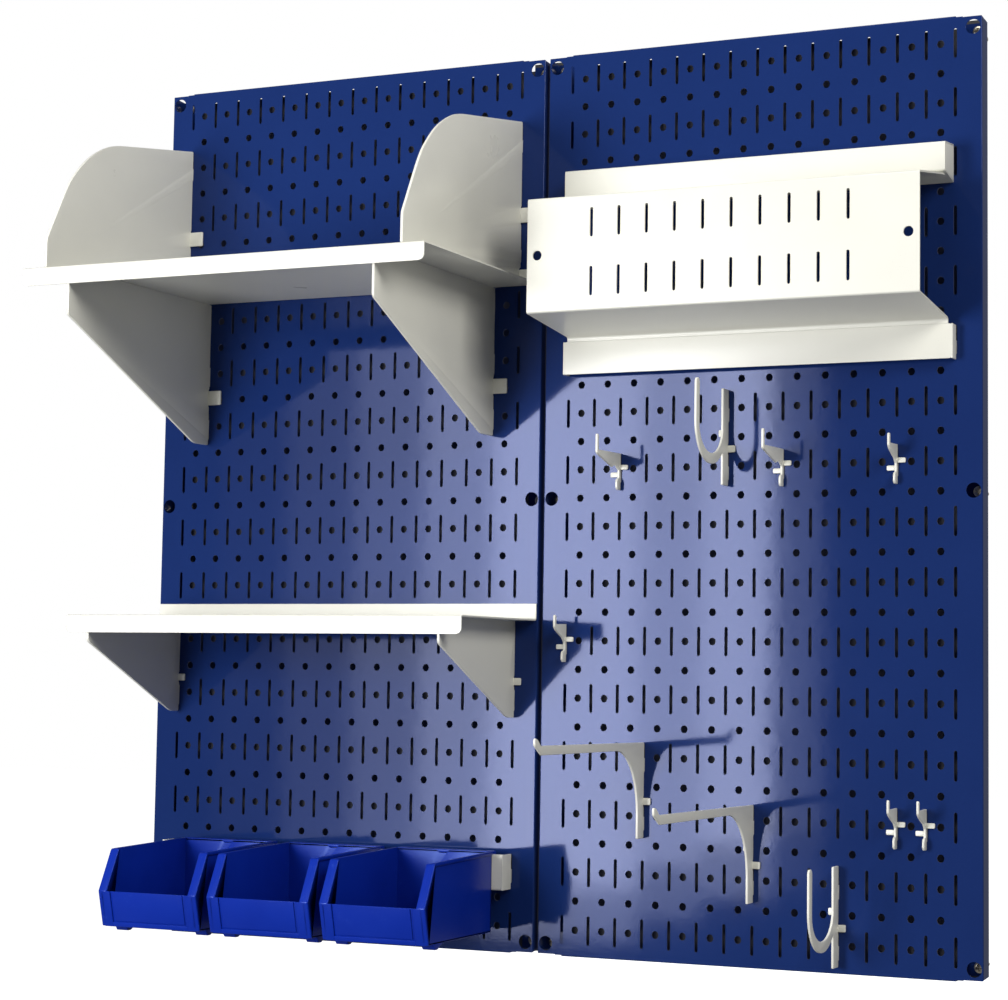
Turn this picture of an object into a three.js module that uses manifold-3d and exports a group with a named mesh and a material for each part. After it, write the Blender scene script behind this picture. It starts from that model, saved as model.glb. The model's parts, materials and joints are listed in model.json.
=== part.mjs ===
// Pegboard tool wall: two folded steel panels side by side on a wall, hung with two shelves,
// two shelf dividers, a stand-off tool holder, a bin rail with three bins and ten plate hooks.
// Millimetres. X runs right with 0 at the seam between the panels, Y runs into the wall with 0
// at the wall's surface, Z runs up with 0 at the panels' bottom edge.
import * as THREE from 'three';
import { mergeVertices } from 'three/addons/utils/BufferGeometryUtils.js';
import Module from 'manifold-3d';

const wasm = await Module();
wasm.setup();

const INCH = 25.4;
const FIT_GAP = 0.3;

// The panels. Slots and holes sit on a grid: sixteen steps across, thirty-two steps up.
const PANEL_WIDTH = 16 * INCH;
const PANEL_HEIGHT = 32 * INCH;
const PANEL_DEPTH = 0.75 * INCH;
const PANEL_SHEET = 0.9;
const PANEL_BEND = 2;
const GRID_ACROSS = 16;
const GRID_UP = 32;
const STEP_X = PANEL_WIDTH / GRID_ACROSS;
const STEP_Z = PANEL_HEIGHT / GRID_UP;
const EDGE_INSET = 2.2;
const SLOT_WIDTH = 3;
const SLOT_HEIGHT = STEP_Z;
const CORNER_SHORTFALL = 1.5;
const LIP_WIDTH = 19;
const ACCESS_HOLE_RADIUS = 6.6;
const ACCESS_HOLE_INSET = 9.8;
const ACCESS_HOLE_ROWS = [0.5, 16, 31.5];
const FACE_Y = -PANEL_DEPTH;

// Wall screws, seen through the access holes.
const SCREW_RADIUS = 2.1;
const SCREW_HEAD_RADIUS = 4.8;
const SCREW_HEAD_HEIGHT = 2.6;
const SCREW_LENGTH = 32;
const SCREW_CLEARANCE = 0.6;
const SCREW_SIDES = 8;
const ACCESS_HOLE_SIDES = 12;

// Every hung piece ends in plates whose tabs pass a slot, rest on its lower end and hook down
// behind the sheet.
const PLATE_GAP = FIT_GAP;
const TAB_FINGER = 3;
const TAB_DROP = 5.6;
const TAB_NECK = 0.47 * SLOT_HEIGHT;
const SHELF_TAB_NECK = 0.74 * SLOT_HEIGHT;
const TAB_NOSE = 1.2;
const HOOK_PLATE = 2;
const BRACKET_PLATE = 2.4;
const WING_PLATE = 1.8;
const PLATE_REAR_Y = FACE_Y - PLATE_GAP;

// Shelves: a folded tray with a front lip and a rear upstand, on two tapered brackets.
const TRAY_WIDTH = 15.75 * STEP_X;
const TRAY_CENTRE = -(GRID_ACROSS / 2) * STEP_X;
const TRAY_SHEET = 1.2;
const TRAY_LIP = 16;
const TRAY_UPSTAND = 14;
const TRAY_CORNER = 5;
const UPPER_TRAY_TOP = 23.7 * STEP_Z;
const UPPER_TRAY_DEPTH = 8.95 * INCH;
const TRAY_END = STEP_X / 2;
const TRAY_REACH = Math.min(GRID_ACROSS / 2 - 1, Math.floor((TRAY_WIDTH / 2 - TRAY_END) / STEP_X));
const columnsAtReach = (reach) => [-GRID_ACROSS / 2 - reach, -GRID_ACROSS / 2 + reach];
const UPPER_BRACKET_COLUMNS = columnsAtReach(TRAY_REACH - 1);
const UPPER_BRACKET_ROWS = [19, 21];
const LOWER_TRAY_TOP = 11.74 * STEP_Z;
const LOWER_TRAY_DEPTH = 5.85 * INCH;
const LOWER_BRACKET_COLUMNS = columnsAtReach(TRAY_REACH);
const LOWER_BRACKET_ROWS = [9];
const DIVIDER_COLUMNS = columnsAtReach(TRAY_REACH);
const DIVIDER_ROWS = [25, 29];
const DIVIDER_DEPTH = UPPER_TRAY_DEPTH - 2;
const DIVIDER_REAR_TOP = 29.65 * STEP_Z;

// Tool holder: a slotted front plate on a folded tray, hung under an end-plated rail.
const HOLDER_CENTRE = (GRID_ACROSS / 2) * STEP_X;
const HOLDER_REACH = 7;
const HOLDER_HALF_SPAN = HOLDER_REACH * STEP_X;
const HOLDER_TRAY_HALF = 6.87 * STEP_X;
const HOLDER_SHEET = 1.5;
const HOLDER_DEPTH = 3.86 * INCH;
const HOLDER_BOTTOM = 22 * STEP_Z;
const HOLDER_TOP = 25.92 * STEP_Z;
const HOLDER_PAN_DROP = 9;
const HOLDER_FLANGE_OFFSET = 0.45 * INCH;
const HOLDER_FLANGE_BOTTOM = 20.33 * STEP_Z;
const HOLDER_FLANGE_ROW = 21;
const HOLDER_SLOT_COLUMNS = 10;
const HOLDER_SLOT_ROWS = [23, 25];
const HOLDER_HOLE_OFFSET = 6.5 * STEP_X;
const HOLDER_HOLE_Z = 23.97 * STEP_Z;
const HOLDER_HOLE_RADIUS = 4.3;
const HOLDER_RAIL_CENTRE = 8.1 * STEP_X;
const HOLDER_RAIL_HALF = 6.85 * STEP_X;
const HOLDER_RAIL_RIBS = [2, 14];
const HOLDER_RAIL_ROW = 27;
const HOLDER_RAIL_DEPTH = 1.1 * INCH;
const HOLDER_RAIL_TOP = 27.56 * STEP_Z;
const HOLDER_RAIL_BOTTOM = 26.27 * STEP_Z;
const HOLDER_RAIL_TAPER_TOP = 3;
const HOLDER_RAIL_TAPER_BOTTOM = 5;
const HOLDER_WELD_LIP = 6;

// Bin rail and bins.
const RAIL_CENTRE = -(GRID_ACROSS / 2) * STEP_X;
const RAIL_REACH = 7;
const RAIL_HALF_SPAN = RAIL_REACH * STEP_X;
const RAIL_OFFSET = 18;
const RAIL_SHEET = 1.5;
const RAIL_BOTTOM = 2.29 * STEP_Z;
const RAIL_TOP = 3.52 * STEP_Z;
const RAIL_TOP_FLANGE = 6;
const RAIL_ROW = 3;
const BIN_COUNT = 3;
const BIN_PITCH = 0.317 * 2 * RAIL_HALF_SPAN;
const BIN_SPACING = 11;
const BIN_WIDTH = BIN_PITCH - BIN_SPACING;
const BIN_GROUP_CENTRE = -7.7 * STEP_X;
const BIN_LENGTH = 132;
const BIN_WALL = 2;
const BIN_HEIGHT_ABOVE_RAIL = 3;
const BIN_HEIGHT = 71;
const BIN_FRONT_LEAN = 8;
const BIN_FRONT_HEIGHT = 31.5;
const BIN_MOUTH_SETBACK = 17.5;
const BIN_MOUTH_DROP = 3;
const BIN_FLANGE = 8.5;
const BIN_FLANGE_OVERHANG = 3;
const BIN_FOOT_DEPTH = 5;
const BIN_FOOT_LENGTH = 20;
const BIN_FOOT_SETBACK = 14;
const BIN_FOOT_WIDTH = 12;
const BIN_LIP_DROP = 5;

// Plate hooks: [name, column, lower slot row].
const LONG_HOOKS = [['hook_long_left', 3, 17], ['hook_long_right', 9, 17]];
const SHORT_HOOKS = [
  ['hook_short_top', 13, 17],
  ['hook_short_seam', 1, 11],
  ['hook_short_low_left', 13, 5],
  ['hook_short_low_right', 14, 5],
];
const CRADLE_HOOKS = [['hook_cradle_upper', 7, 17], ['hook_cradle_lower', 11, 1]];
const ARM_HOOKS = [['hook_arm_left', 4, 5], ['hook_arm_right', 8, 3]];
const LONG_REACH = 2.05 * INCH;
const SHORT_REACH = 0.97 * INCH;
const TINE_DEPTH = 3.3;
const SPINE_NECK = 3;
const FOOT_REACH = 7.6;
const SMALL_WING = [7.2, 4.3];
const CRADLE_REACH = 3.05 * INCH;
const CRADLE_BAR = 0.3 * INCH;
const CRADLE_SPINE = 0.52 * INCH;
const CRADLE_CURVE_STEPS = 12;
const ARM_REACH = 8.85 * INCH;
const ARM_SPINE = 0.52 * INCH;
const ARM_GUSSET = 2.4 * INCH;
const ARM_BAR = 0.24 * STEP_Z;
const ARM_CURVE_STEPS = 8;
const LARGE_WING = [6.6, 6];
const BRACKET_WING = [13.8, 13.6];

const FINISH = {
  panel: { color: 0x1d3168, roughness: 0.42, metalness: 0.15 },
  white: { color: 0xe7e6e0, roughness: 0.45, metalness: 0.05 },
  bin: { color: 0x0b2aa8, roughness: 0.38, metalness: 0 },
  zinc: { color: 0xb9b294, roughness: 0.32, metalness: 0.9 },
};

// ---- solids ----

function toSolid(geometry) {
  geometry.deleteAttribute('normal');
  geometry.deleteAttribute('uv');
  const merged = mergeVertices(geometry, 1e-4);
  return new wasm.Manifold(new wasm.Mesh({
    numProp: 3,
    vertProperties: new Float32Array(merged.attributes.position.array),
    triVerts: new Uint32Array(merged.index.array),
  }));
}

function join(solids) {
  return solids.reduce((whole, solid) => whole.add(solid));
}

function toGeometry(solid) {
  const mesh = solid.getMesh();
  const geometry = new THREE.BufferGeometry();
  geometry.setAttribute('position', new THREE.BufferAttribute(mesh.vertProperties, 3));
  geometry.setIndex(new THREE.BufferAttribute(mesh.triVerts, 1));
  const flat = geometry.toNonIndexed();
  flat.computeVertexNormals();
  return flat;
}

function outline(points) {
  return new THREE.Shape(points.map(([a, b]) => new THREE.Vector2(a, b)));
}

function extrude(points, depth) {
  return new THREE.ExtrudeGeometry(outline(points), { depth, bevelEnabled: false, curveSegments: 1 });
}

// A plate standing square to the wall: points are (y, z), from x0 to x1.
function plateAcross(points, x0, x1) {
  const turn = new THREE.Matrix4().set(0, 0, 1, x0, 1, 0, 0, 0, 0, 1, 0, 0, 0, 0, 0, 1);
  return toSolid(extrude(points, x1 - x0).applyMatrix4(turn));
}

// A plate facing the viewer: points are (x, z), from yFront back to yBack.
function plateFacing(points, yFront, yBack) {
  const turn = new THREE.Matrix4().set(1, 0, 0, 0, 0, 0, -1, yBack, 0, 1, 0, 0, 0, 0, 0, 1);
  return toSolid(extrude(points, yBack - yFront).applyMatrix4(turn));
}

// A section drawn in plan: points are (x, y), from z0 up to z1.
function column(points, z0, z1) {
  const lift = new THREE.Matrix4().makeTranslation(0, 0, z0);
  return toSolid(extrude(points, z1 - z0).applyMatrix4(lift));
}

function block(x0, x1, y0, y1, z0, z1) {
  return plateAcross([[y0, z0], [y1, z0], [y1, z1], [y0, z1]], x0, x1);
}

function circlePoints(cx, cz, radius, sides) {
  return Array.from({ length: sides }, (_, i) => {
    const angle = (2 * Math.PI * (i + 0.5)) / sides;
    return [cx + radius * Math.cos(angle), cz + radius * Math.sin(angle)];
  });
}

function slotPoints(cx, cz) {
  const w = SLOT_WIDTH / 2;
  const h = SLOT_HEIGHT / 2;
  return [[cx - w, cz - h], [cx + w, cz - h], [cx + w, cz + h], [cx - w, cz + h]];
}

// A folded strip: the centre line's corner points, given as the outer face, thickened inward.
function foldedStrip(points, thickness) {
  const inner = points.map((point, i) => {
    const before = points[Math.max(i - 1, 0)];
    const after = points[Math.min(i + 1, points.length - 1)];
    const normal = (p, q) => {
      const length = Math.hypot(q[0] - p[0], q[1] - p[1]) || 1;
      return [-(q[1] - p[1]) / length, (q[0] - p[0]) / length];
    };
    const n0 = i > 0 ? normal(before, point) : normal(point, after);
    const n1 = i < points.length - 1 ? normal(point, after) : n0;
    const scale = thickness / (1 + n0[0] * n1[0] + n0[1] * n1[1]);
    return [point[0] + (n0[0] + n1[0]) * scale, point[1] + (n0[1] + n1[1]) * scale];
  });
  return [...points, ...inner.reverse()];
}

// ---- the panels ----

function bendPoints(cx, cy, radius, fromDegrees, toDegrees) {
  return [0, 0.5, 1].map((t) => {
    const angle = THREE.MathUtils.degToRad(fromDegrees + (toDegrees - fromDegrees) * t);
    return [cx + radius * Math.cos(angle), cy + radius * Math.sin(angle)];
  });
}

function panelSection() {
  const left = EDGE_INSET;
  const right = PANEL_WIDTH - EDGE_INSET;
  const r = PANEL_BEND;
  const outer = [
    [left + LIP_WIDTH, 0],
    ...bendPoints(left + r, -r, r, 90, 180),
    ...bendPoints(left + r, FACE_Y + r, r, 180, 270),
    ...bendPoints(right - r, FACE_Y + r, r, 270, 360),
    ...bendPoints(right - r, -r, r, 0, 90),
    [right - LIP_WIDTH, 0],
  ];
  return foldedStrip(outer, PANEL_SHEET);
}

function edgeFlange(zEdge, inward) {
  const r = PANEL_BEND;
  const x0 = STEP_X;
  const x1 = PANEL_WIDTH - STEP_X;
  const reach = 3 * PANEL_BEND;
  const bend = [0, 0.5, 1].map((t) => {
    const angle = (Math.PI / 2) * t;
    return [FACE_Y + r - r * Math.cos(angle), zEdge + inward * (r - r * Math.sin(angle))];
  });
  const outer = [[FACE_Y, zEdge + inward * reach], ...bend, [-PANEL_SHEET, zEdge]];
  const path = inward > 0 ? outer : outer.slice().reverse();
  return plateAcross(foldedStrip(path, PANEL_SHEET), x0, x1);
}

function panelSlots() {
  const slots = [];
  for (let col = 1; col < GRID_ACROSS; col += 1) {
    for (let row = 1; row < GRID_UP; row += 2) {
      slots.push(slotPoints(col * STEP_X, row * STEP_Z));
    }
  }
  return slots;
}

function fixingPlaces() {
  return ACCESS_HOLE_ROWS.flatMap((row) => [
    [ACCESS_HOLE_INSET, row * STEP_Z],
    [PANEL_WIDTH - ACCESS_HOLE_INSET, row * STEP_Z],
  ]);
}

function rightPanel() {
  const bottom = EDGE_INSET;
  const top = PANEL_HEIGHT - EDGE_INSET;
  const body = column(panelSection(), bottom + CORNER_SHORTFALL, top - CORNER_SHORTFALL);
  const whole = join([body, edgeFlange(bottom, 1), edgeFlange(top, -1)]);
  const through = (points) => plateFacing(points, FACE_Y - 1, FACE_Y + PANEL_SHEET + 1);
  const slots = panelSlots().map(through);
  const access = fixingPlaces().map(([x, z]) => through(
    circlePoints(x, z, ACCESS_HOLE_RADIUS, ACCESS_HOLE_SIDES)));
  const screwHoles = fixingPlaces().map(([x, z]) => plateFacing(
    circlePoints(x, z, SCREW_RADIUS + SCREW_CLEARANCE, SCREW_SIDES), -PANEL_SHEET - 1, 1));
  return whole.subtract(wasm.Manifold.union([...slots, ...access, ...screwHoles]));
}

function wallScrew(x, z) {
  const profile = [
    [0, -SCREW_HEAD_HEIGHT], [0.55 * SCREW_HEAD_RADIUS, -SCREW_HEAD_HEIGHT],
    [SCREW_HEAD_RADIUS, -0.35 * SCREW_HEAD_HEIGHT], [SCREW_HEAD_RADIUS, 0], [SCREW_RADIUS, 0],
    [SCREW_RADIUS, SCREW_LENGTH - 6], [0, SCREW_LENGTH],
  ].map(([r, along]) => new THREE.Vector2(r, along));
  const headSeat = -PANEL_SHEET - FIT_GAP;
  const lathe = new THREE.LatheGeometry(profile, SCREW_SIDES);
  const place = new THREE.Matrix4().set(1, 0, 0, x, 0, 1, 0, headSeat, 0, 0, 1, z, 0, 0, 0, 1);
  return toSolid(lathe.applyMatrix4(place));
}

// ---- tabs and wings shared by every hung plate ----

function slotTab(row, x, plate, neck = TAB_NECK) {
  const bottom = row * STEP_Z - SLOT_HEIGHT / 2 + FIT_GAP;
  const top = bottom + neck;
  const start = PLATE_REAR_Y - 1.5;
  const behind = FACE_Y + PANEL_SHEET + FIT_GAP;
  const back = behind + TAB_FINGER;
  return plateAcross([
    [start, bottom], [behind, bottom], [behind, bottom - TAB_DROP],
    [back - TAB_NOSE, bottom - TAB_DROP], [back, bottom - TAB_DROP + TAB_NOSE],
    [back, top - TAB_NOSE], [back - TAB_NOSE, top], [start, top],
  ], x - plate / 2, x + plate / 2);
}

function wing(x, side, z, [length, height], plate) {
  const root = x + side * (plate / 2 - 0.4);
  const tip = x + side * (plate / 2 + length);
  return block(Math.min(root, tip), Math.max(root, tip), PLATE_REAR_Y - WING_PLATE, PLATE_REAR_Y,
    z - height / 2, z + height / 2);
}

function outward(points) {
  return points.map(([out, z]) => [PLATE_REAR_Y - out, z]);
}

function hangingPlate(points, x, plate, rows, neck) {
  const body = plateAcross(outward(points), x - plate / 2, x + plate / 2);
  return join([body, ...rows.map((row) => slotTab(row, x, plate, neck))]);
}

// ---- hooks ----

function spineFoot(z) {
  return [
    [SPINE_NECK, z(-0.06)], [SPINE_NECK, z(-0.34)], [FOOT_REACH - 1.2, z(-0.38)],
    [FOOT_REACH, z(-0.48)], [FOOT_REACH, z(-0.66)], [FOOT_REACH - 1.8, z(-0.75)], [0, z(-0.75)],
  ];
}

function smallWings(x, z) {
  return [
    wing(x, 1, z(0.045), SMALL_WING, HOOK_PLATE),
    wing(x, -1, z(-0.215), SMALL_WING, HOOK_PLATE),
  ];
}

function longHook(col, row) {
  const z = (steps) => (row + steps) * STEP_Z;
  const x = col * STEP_X;
  const points = [
    [0, z(0.53)], [LONG_REACH - TINE_DEPTH, z(0.5)], [LONG_REACH - TINE_DEPTH, z(1)],
    [LONG_REACH - 0.8, z(1.04)], [LONG_REACH, z(1)], [LONG_REACH, z(0.4)],
    [LONG_REACH - 1.5, z(0.35)], [0.35 * LONG_REACH, z(0)], [0.22 * LONG_REACH, z(0.12)],
    ...spineFoot(z),
  ];
  return join([hangingPlate(points, x, HOOK_PLATE, [row]), ...smallWings(x, z)]);
}

function shortHook(col, row) {
  const z = (steps) => (row + steps) * STEP_Z;
  const x = col * STEP_X;
  const points = [
    [0, z(0.58)], [SHORT_REACH - TINE_DEPTH, z(0.56)], [SHORT_REACH - TINE_DEPTH, z(0.85)],
    [SHORT_REACH - 0.8, z(0.88)], [SHORT_REACH, z(0.84)], [SHORT_REACH, z(0.46)],
    [0.86 * SHORT_REACH, z(0.34)], [0.55 * SHORT_REACH, z(0.2)], [0.3 * SHORT_REACH, z(0.1)],
    ...spineFoot(z),
  ];
  return join([hangingPlate(points, x, HOOK_PLATE, [row]), ...smallWings(x, z)]);
}

// Half an ellipse hanging below zMid, from its wall side to its front side.
function hangingCurve(centre, halfWidth, zMid, depth, steps) {
  return Array.from({ length: steps + 1 }, (_, i) => {
    const angle = (Math.PI * i) / steps;
    return [centre - halfWidth * Math.cos(angle), zMid - depth * Math.sin(angle)];
  });
}

function cradleHook(col, row) {
  const z = (steps) => (row + steps) * STEP_Z;
  const x = col * STEP_X;
  const innerHalf = (CRADLE_REACH - CRADLE_BAR - CRADLE_SPINE) / 2;
  const centre = CRADLE_SPINE + innerHalf;
  const inner = hangingCurve(centre, innerHalf, z(1.2), 0.9 * STEP_Z, CRADLE_CURVE_STEPS);
  const outer = hangingCurve(centre, innerHalf + CRADLE_BAR, z(1.3), 1.36 * STEP_Z, CRADLE_CURVE_STEPS)
    .filter(([out]) => out > CRADLE_SPINE);
  const points = [
    [0, z(2.62)], [CRADLE_SPINE, z(2.62)], ...inner,
    [CRADLE_REACH - CRADLE_BAR, z(2.6)], [CRADLE_REACH - 0.75 * CRADLE_BAR, z(2.7)],
    [CRADLE_REACH - 0.25 * CRADLE_BAR, z(2.7)], [CRADLE_REACH, z(2.6)],
    ...outer.reverse(), [CRADLE_SPINE, z(0.2)], [CRADLE_SPINE, z(-0.69)], [0, z(-0.69)],
  ];
  return join([
    hangingPlate(points, x, HOOK_PLATE, [row, row + 2]),
    wing(x, 1, z(0.58), LARGE_WING, HOOK_PLATE),
    wing(x, -1, z(1.12), LARGE_WING, HOOK_PLATE),
  ]);
}

function armHook(col, row) {
  const z = (steps) => (row + steps) * STEP_Z;
  const x = col * STEP_X;
  const under = 2.28;
  const curve = Array.from({ length: ARM_CURVE_STEPS + 1 }, (_, i) => {
    const angle = (Math.PI / 2) * (i / ARM_CURVE_STEPS);
    return [
      ARM_GUSSET - (ARM_GUSSET - ARM_SPINE) * Math.sin(angle),
      z(under - (under - 0.1) * (1 - Math.cos(angle))),
    ];
  });
  const points = [
    [0, z(2.52)], [ARM_REACH - 11, z(2.6)], [ARM_REACH - 5, z(2.8)], [ARM_REACH - 1, z(2.84)],
    [ARM_REACH, z(2.78)], [ARM_REACH - 0.4, z(2.6)], [ARM_REACH - 13, z(2.3)],
    [ARM_REACH - 18, z(2.6) - ARM_BAR - 0.06 * STEP_Z],
    ...curve, [ARM_SPINE, z(-0.74)], [0, z(-0.74)],
  ];
  return join([
    hangingPlate(points, x, HOOK_PLATE, [row, row + 2]),
    wing(x, 1, z(0.51), LARGE_WING, HOOK_PLATE),
    wing(x, -1, z(1.08), LARGE_WING, HOOK_PLATE),
  ]);
}

// ---- shelves ----

function tray(top, depth) {
  const front = PLATE_REAR_Y - depth;
  const rear = PLATE_REAR_Y;
  const x0 = TRAY_CENTRE - TRAY_WIDTH / 2;
  const x1 = TRAY_CENTRE + TRAY_WIDTH / 2;
  const upstand = block(x0, x1, rear - TRAY_SHEET, rear, top - TRAY_SHEET, top + TRAY_UPSTAND);
  const deck = block(x0, x1, front, rear, top - TRAY_SHEET, top);
  const lipBottom = top - TRAY_LIP;
  const lip = plateFacing([
    [x0, top], [x0, lipBottom + TRAY_CORNER], [x0 + TRAY_CORNER, lipBottom],
    [x1 - TRAY_CORNER, lipBottom], [x1, lipBottom + TRAY_CORNER], [x1, top],
  ], front, front + TRAY_SHEET);
  return join([deck, upstand, lip]);
}

function shelfBracket(col, rows, shape) {
  const x = col * STEP_X;
  const top = shape.trayTop - TRAY_SHEET - FIT_GAP;
  const front = shape.trayDepth - TRAY_SHEET - FIT_GAP;
  const points = [
    [0, top], [front, top], [front, shape.frontBottom * STEP_Z],
    [shape.footDepth, shape.bottom * STEP_Z], [0, shape.bottom * STEP_Z],
  ];
  return join([
    hangingPlate(points, x, BRACKET_PLATE, rows, SHELF_TAB_NECK),
    wing(x, 1, shape.wingRow * STEP_Z, shape.wingSize, BRACKET_PLATE),
  ]);
}

const UPPER_BRACKET = {
  trayTop: UPPER_TRAY_TOP,
  trayDepth: UPPER_TRAY_DEPTH,
  frontBottom: 22,
  bottom: 18.3,
  footDepth: 0.93 * INCH,
  wingRow: 20.08,
  wingSize: BRACKET_WING,
};

const LOWER_BRACKET = {
  trayTop: LOWER_TRAY_TOP,
  trayDepth: LOWER_TRAY_DEPTH,
  frontBottom: 10.8,
  bottom: 8.28,
  footDepth: 0.5 * INCH,
  wingRow: 9.545,
  wingSize: [6.9, 6.4],
};

function shelfDivider(col) {
  const x = col * STEP_X;
  const bottom = UPPER_TRAY_TOP + FIT_GAP;
  const d = DIVIDER_DEPTH;
  const z = (steps) => steps * STEP_Z;
  const points = [
    [TRAY_SHEET + 2, bottom], [d, bottom], [d, z(24.7)], [0.87 * d, z(26.9)], [0.81 * d, z(27.5)],
    [0.75 * d, z(28.0)], [0.67 * d, z(28.45)], [0.58 * d, z(28.8)], [0, DIVIDER_REAR_TOP],
    [0, bottom + TRAY_UPSTAND + 2], [TRAY_SHEET + 2, bottom + TRAY_UPSTAND],
  ];
  return join([
    hangingPlate(points, x, BRACKET_PLATE, DIVIDER_ROWS),
    wing(x, 1, z(26.22), BRACKET_WING, BRACKET_PLATE),
  ]);
}

// ---- tool holder ----

function endPlate(points, x, row) {
  return hangingPlate(points, x, HOLDER_SHEET, [row]);
}

function holderTray() {
  const rise = [PLATE_REAR_Y - HOLDER_FLANGE_OFFSET, HOLDER_BOTTOM - HOLDER_PAN_DROP];
  const front = FACE_Y - HOLDER_DEPTH;
  const railFront = PLATE_REAR_Y - HOLDER_RAIL_DEPTH;
  const railUnder = HOLDER_RAIL_BOTTOM + HOLDER_RAIL_TAPER_BOTTOM;
  const slope = HOLDER_RAIL_TAPER_BOTTOM / HOLDER_RAIL_DEPTH;
  const path = [
    [rise[0], HOLDER_FLANGE_BOTTOM], rise, [front, HOLDER_BOTTOM], [front, HOLDER_TOP],
    [railFront - 2, railUnder - FIT_GAP - 2], [railFront, railUnder - FIT_GAP],
    [railFront + HOLDER_WELD_LIP, railUnder - FIT_GAP - slope * HOLDER_WELD_LIP],
  ];
  const x0 = HOLDER_CENTRE - HOLDER_TRAY_HALF;
  const x1 = HOLDER_CENTRE + HOLDER_TRAY_HALF;
  const shell = plateAcross(foldedStrip(path.slice().reverse(), HOLDER_SHEET), x0, x1);
  const flange = block(HOLDER_CENTRE - HOLDER_HALF_SPAN, HOLDER_CENTRE + HOLDER_HALF_SPAN,
    rise[0], rise[0] + HOLDER_SHEET, HOLDER_FLANGE_BOTTOM, rise[1] - HOLDER_SHEET);
  const returns = [-1, 1].map((side) => endPlate([
    [0, HOLDER_FLANGE_BOTTOM], [HOLDER_FLANGE_OFFSET, HOLDER_FLANGE_BOTTOM],
    [HOLDER_FLANGE_OFFSET, rise[1] - HOLDER_SHEET], [0, rise[1] - HOLDER_SHEET],
  ], HOLDER_CENTRE + side * HOLDER_HALF_SPAN, HOLDER_FLANGE_ROW));
  const cut = (points) => plateFacing(points, front - 5, front + 5);
  const cuts = [-1, 1].map((side) => cut(circlePoints(
    HOLDER_CENTRE + side * HOLDER_HOLE_OFFSET, HOLDER_HOLE_Z, HOLDER_HOLE_RADIUS, 12)));
  for (let i = 0; i < HOLDER_SLOT_COLUMNS; i += 1) {
    const x = HOLDER_CENTRE + (i - (HOLDER_SLOT_COLUMNS - 1) / 2) * STEP_X;
    HOLDER_SLOT_ROWS.forEach((row) => cuts.push(cut(slotPoints(x, row * STEP_Z))));
  }
  return join([shell, flange, ...returns]).subtract(wasm.Manifold.union(cuts));
}

function holderRail() {
  const depth = HOLDER_RAIL_DEPTH;
  const frontTop = HOLDER_RAIL_TOP - HOLDER_RAIL_TAPER_TOP;
  const frontBottom = HOLDER_RAIL_BOTTOM + HOLDER_RAIL_TAPER_BOTTOM;
  const rear = PLATE_REAR_Y;
  const path = [
    [rear, HOLDER_RAIL_BOTTOM], [rear - depth, frontBottom], [rear - depth, frontTop],
    [rear, HOLDER_RAIL_TOP],
  ];
  const x0 = HOLDER_RAIL_CENTRE - HOLDER_RAIL_HALF;
  const x1 = HOLDER_RAIL_CENTRE + HOLDER_RAIL_HALF;
  const channel = plateAcross(foldedStrip(path.slice().reverse(), HOLDER_SHEET), x0, x1);
  const profile = [
    [0, HOLDER_RAIL_BOTTOM], [depth, frontBottom], [depth, frontTop], [0, HOLDER_RAIL_TOP],
  ];
  const caps = [[x0, x0 + HOLDER_SHEET], [x1 - HOLDER_SHEET, x1]].map(
    ([from, to]) => plateAcross(outward(profile), from, to));
  const ribs = HOLDER_RAIL_RIBS.map((col) => endPlate(profile, col * STEP_X, HOLDER_RAIL_ROW));
  return join([channel, ...caps, ...ribs]);
}

// ---- bin rail and bins ----

function binRail() {
  const x0 = RAIL_CENTRE - RAIL_HALF_SPAN;
  const x1 = RAIL_CENTRE + RAIL_HALF_SPAN;
  const front = FACE_Y - RAIL_OFFSET;
  const path = [
    [front + RAIL_TOP_FLANGE, RAIL_TOP], [front, RAIL_TOP], [front, RAIL_BOTTOM],
    [front + RAIL_TOP_FLANGE, RAIL_BOTTOM],
  ];
  const channel = plateAcross(foldedStrip(path, RAIL_SHEET), x0, x1);
  const offset = PLATE_REAR_Y - front;
  const ends = [x0, x1].map((x) => endPlate([
    [0, RAIL_BOTTOM], [offset, RAIL_BOTTOM], [offset, RAIL_TOP], [0, RAIL_TOP],
  ], x, RAIL_ROW));
  return join([channel, ...ends]);
}

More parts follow.
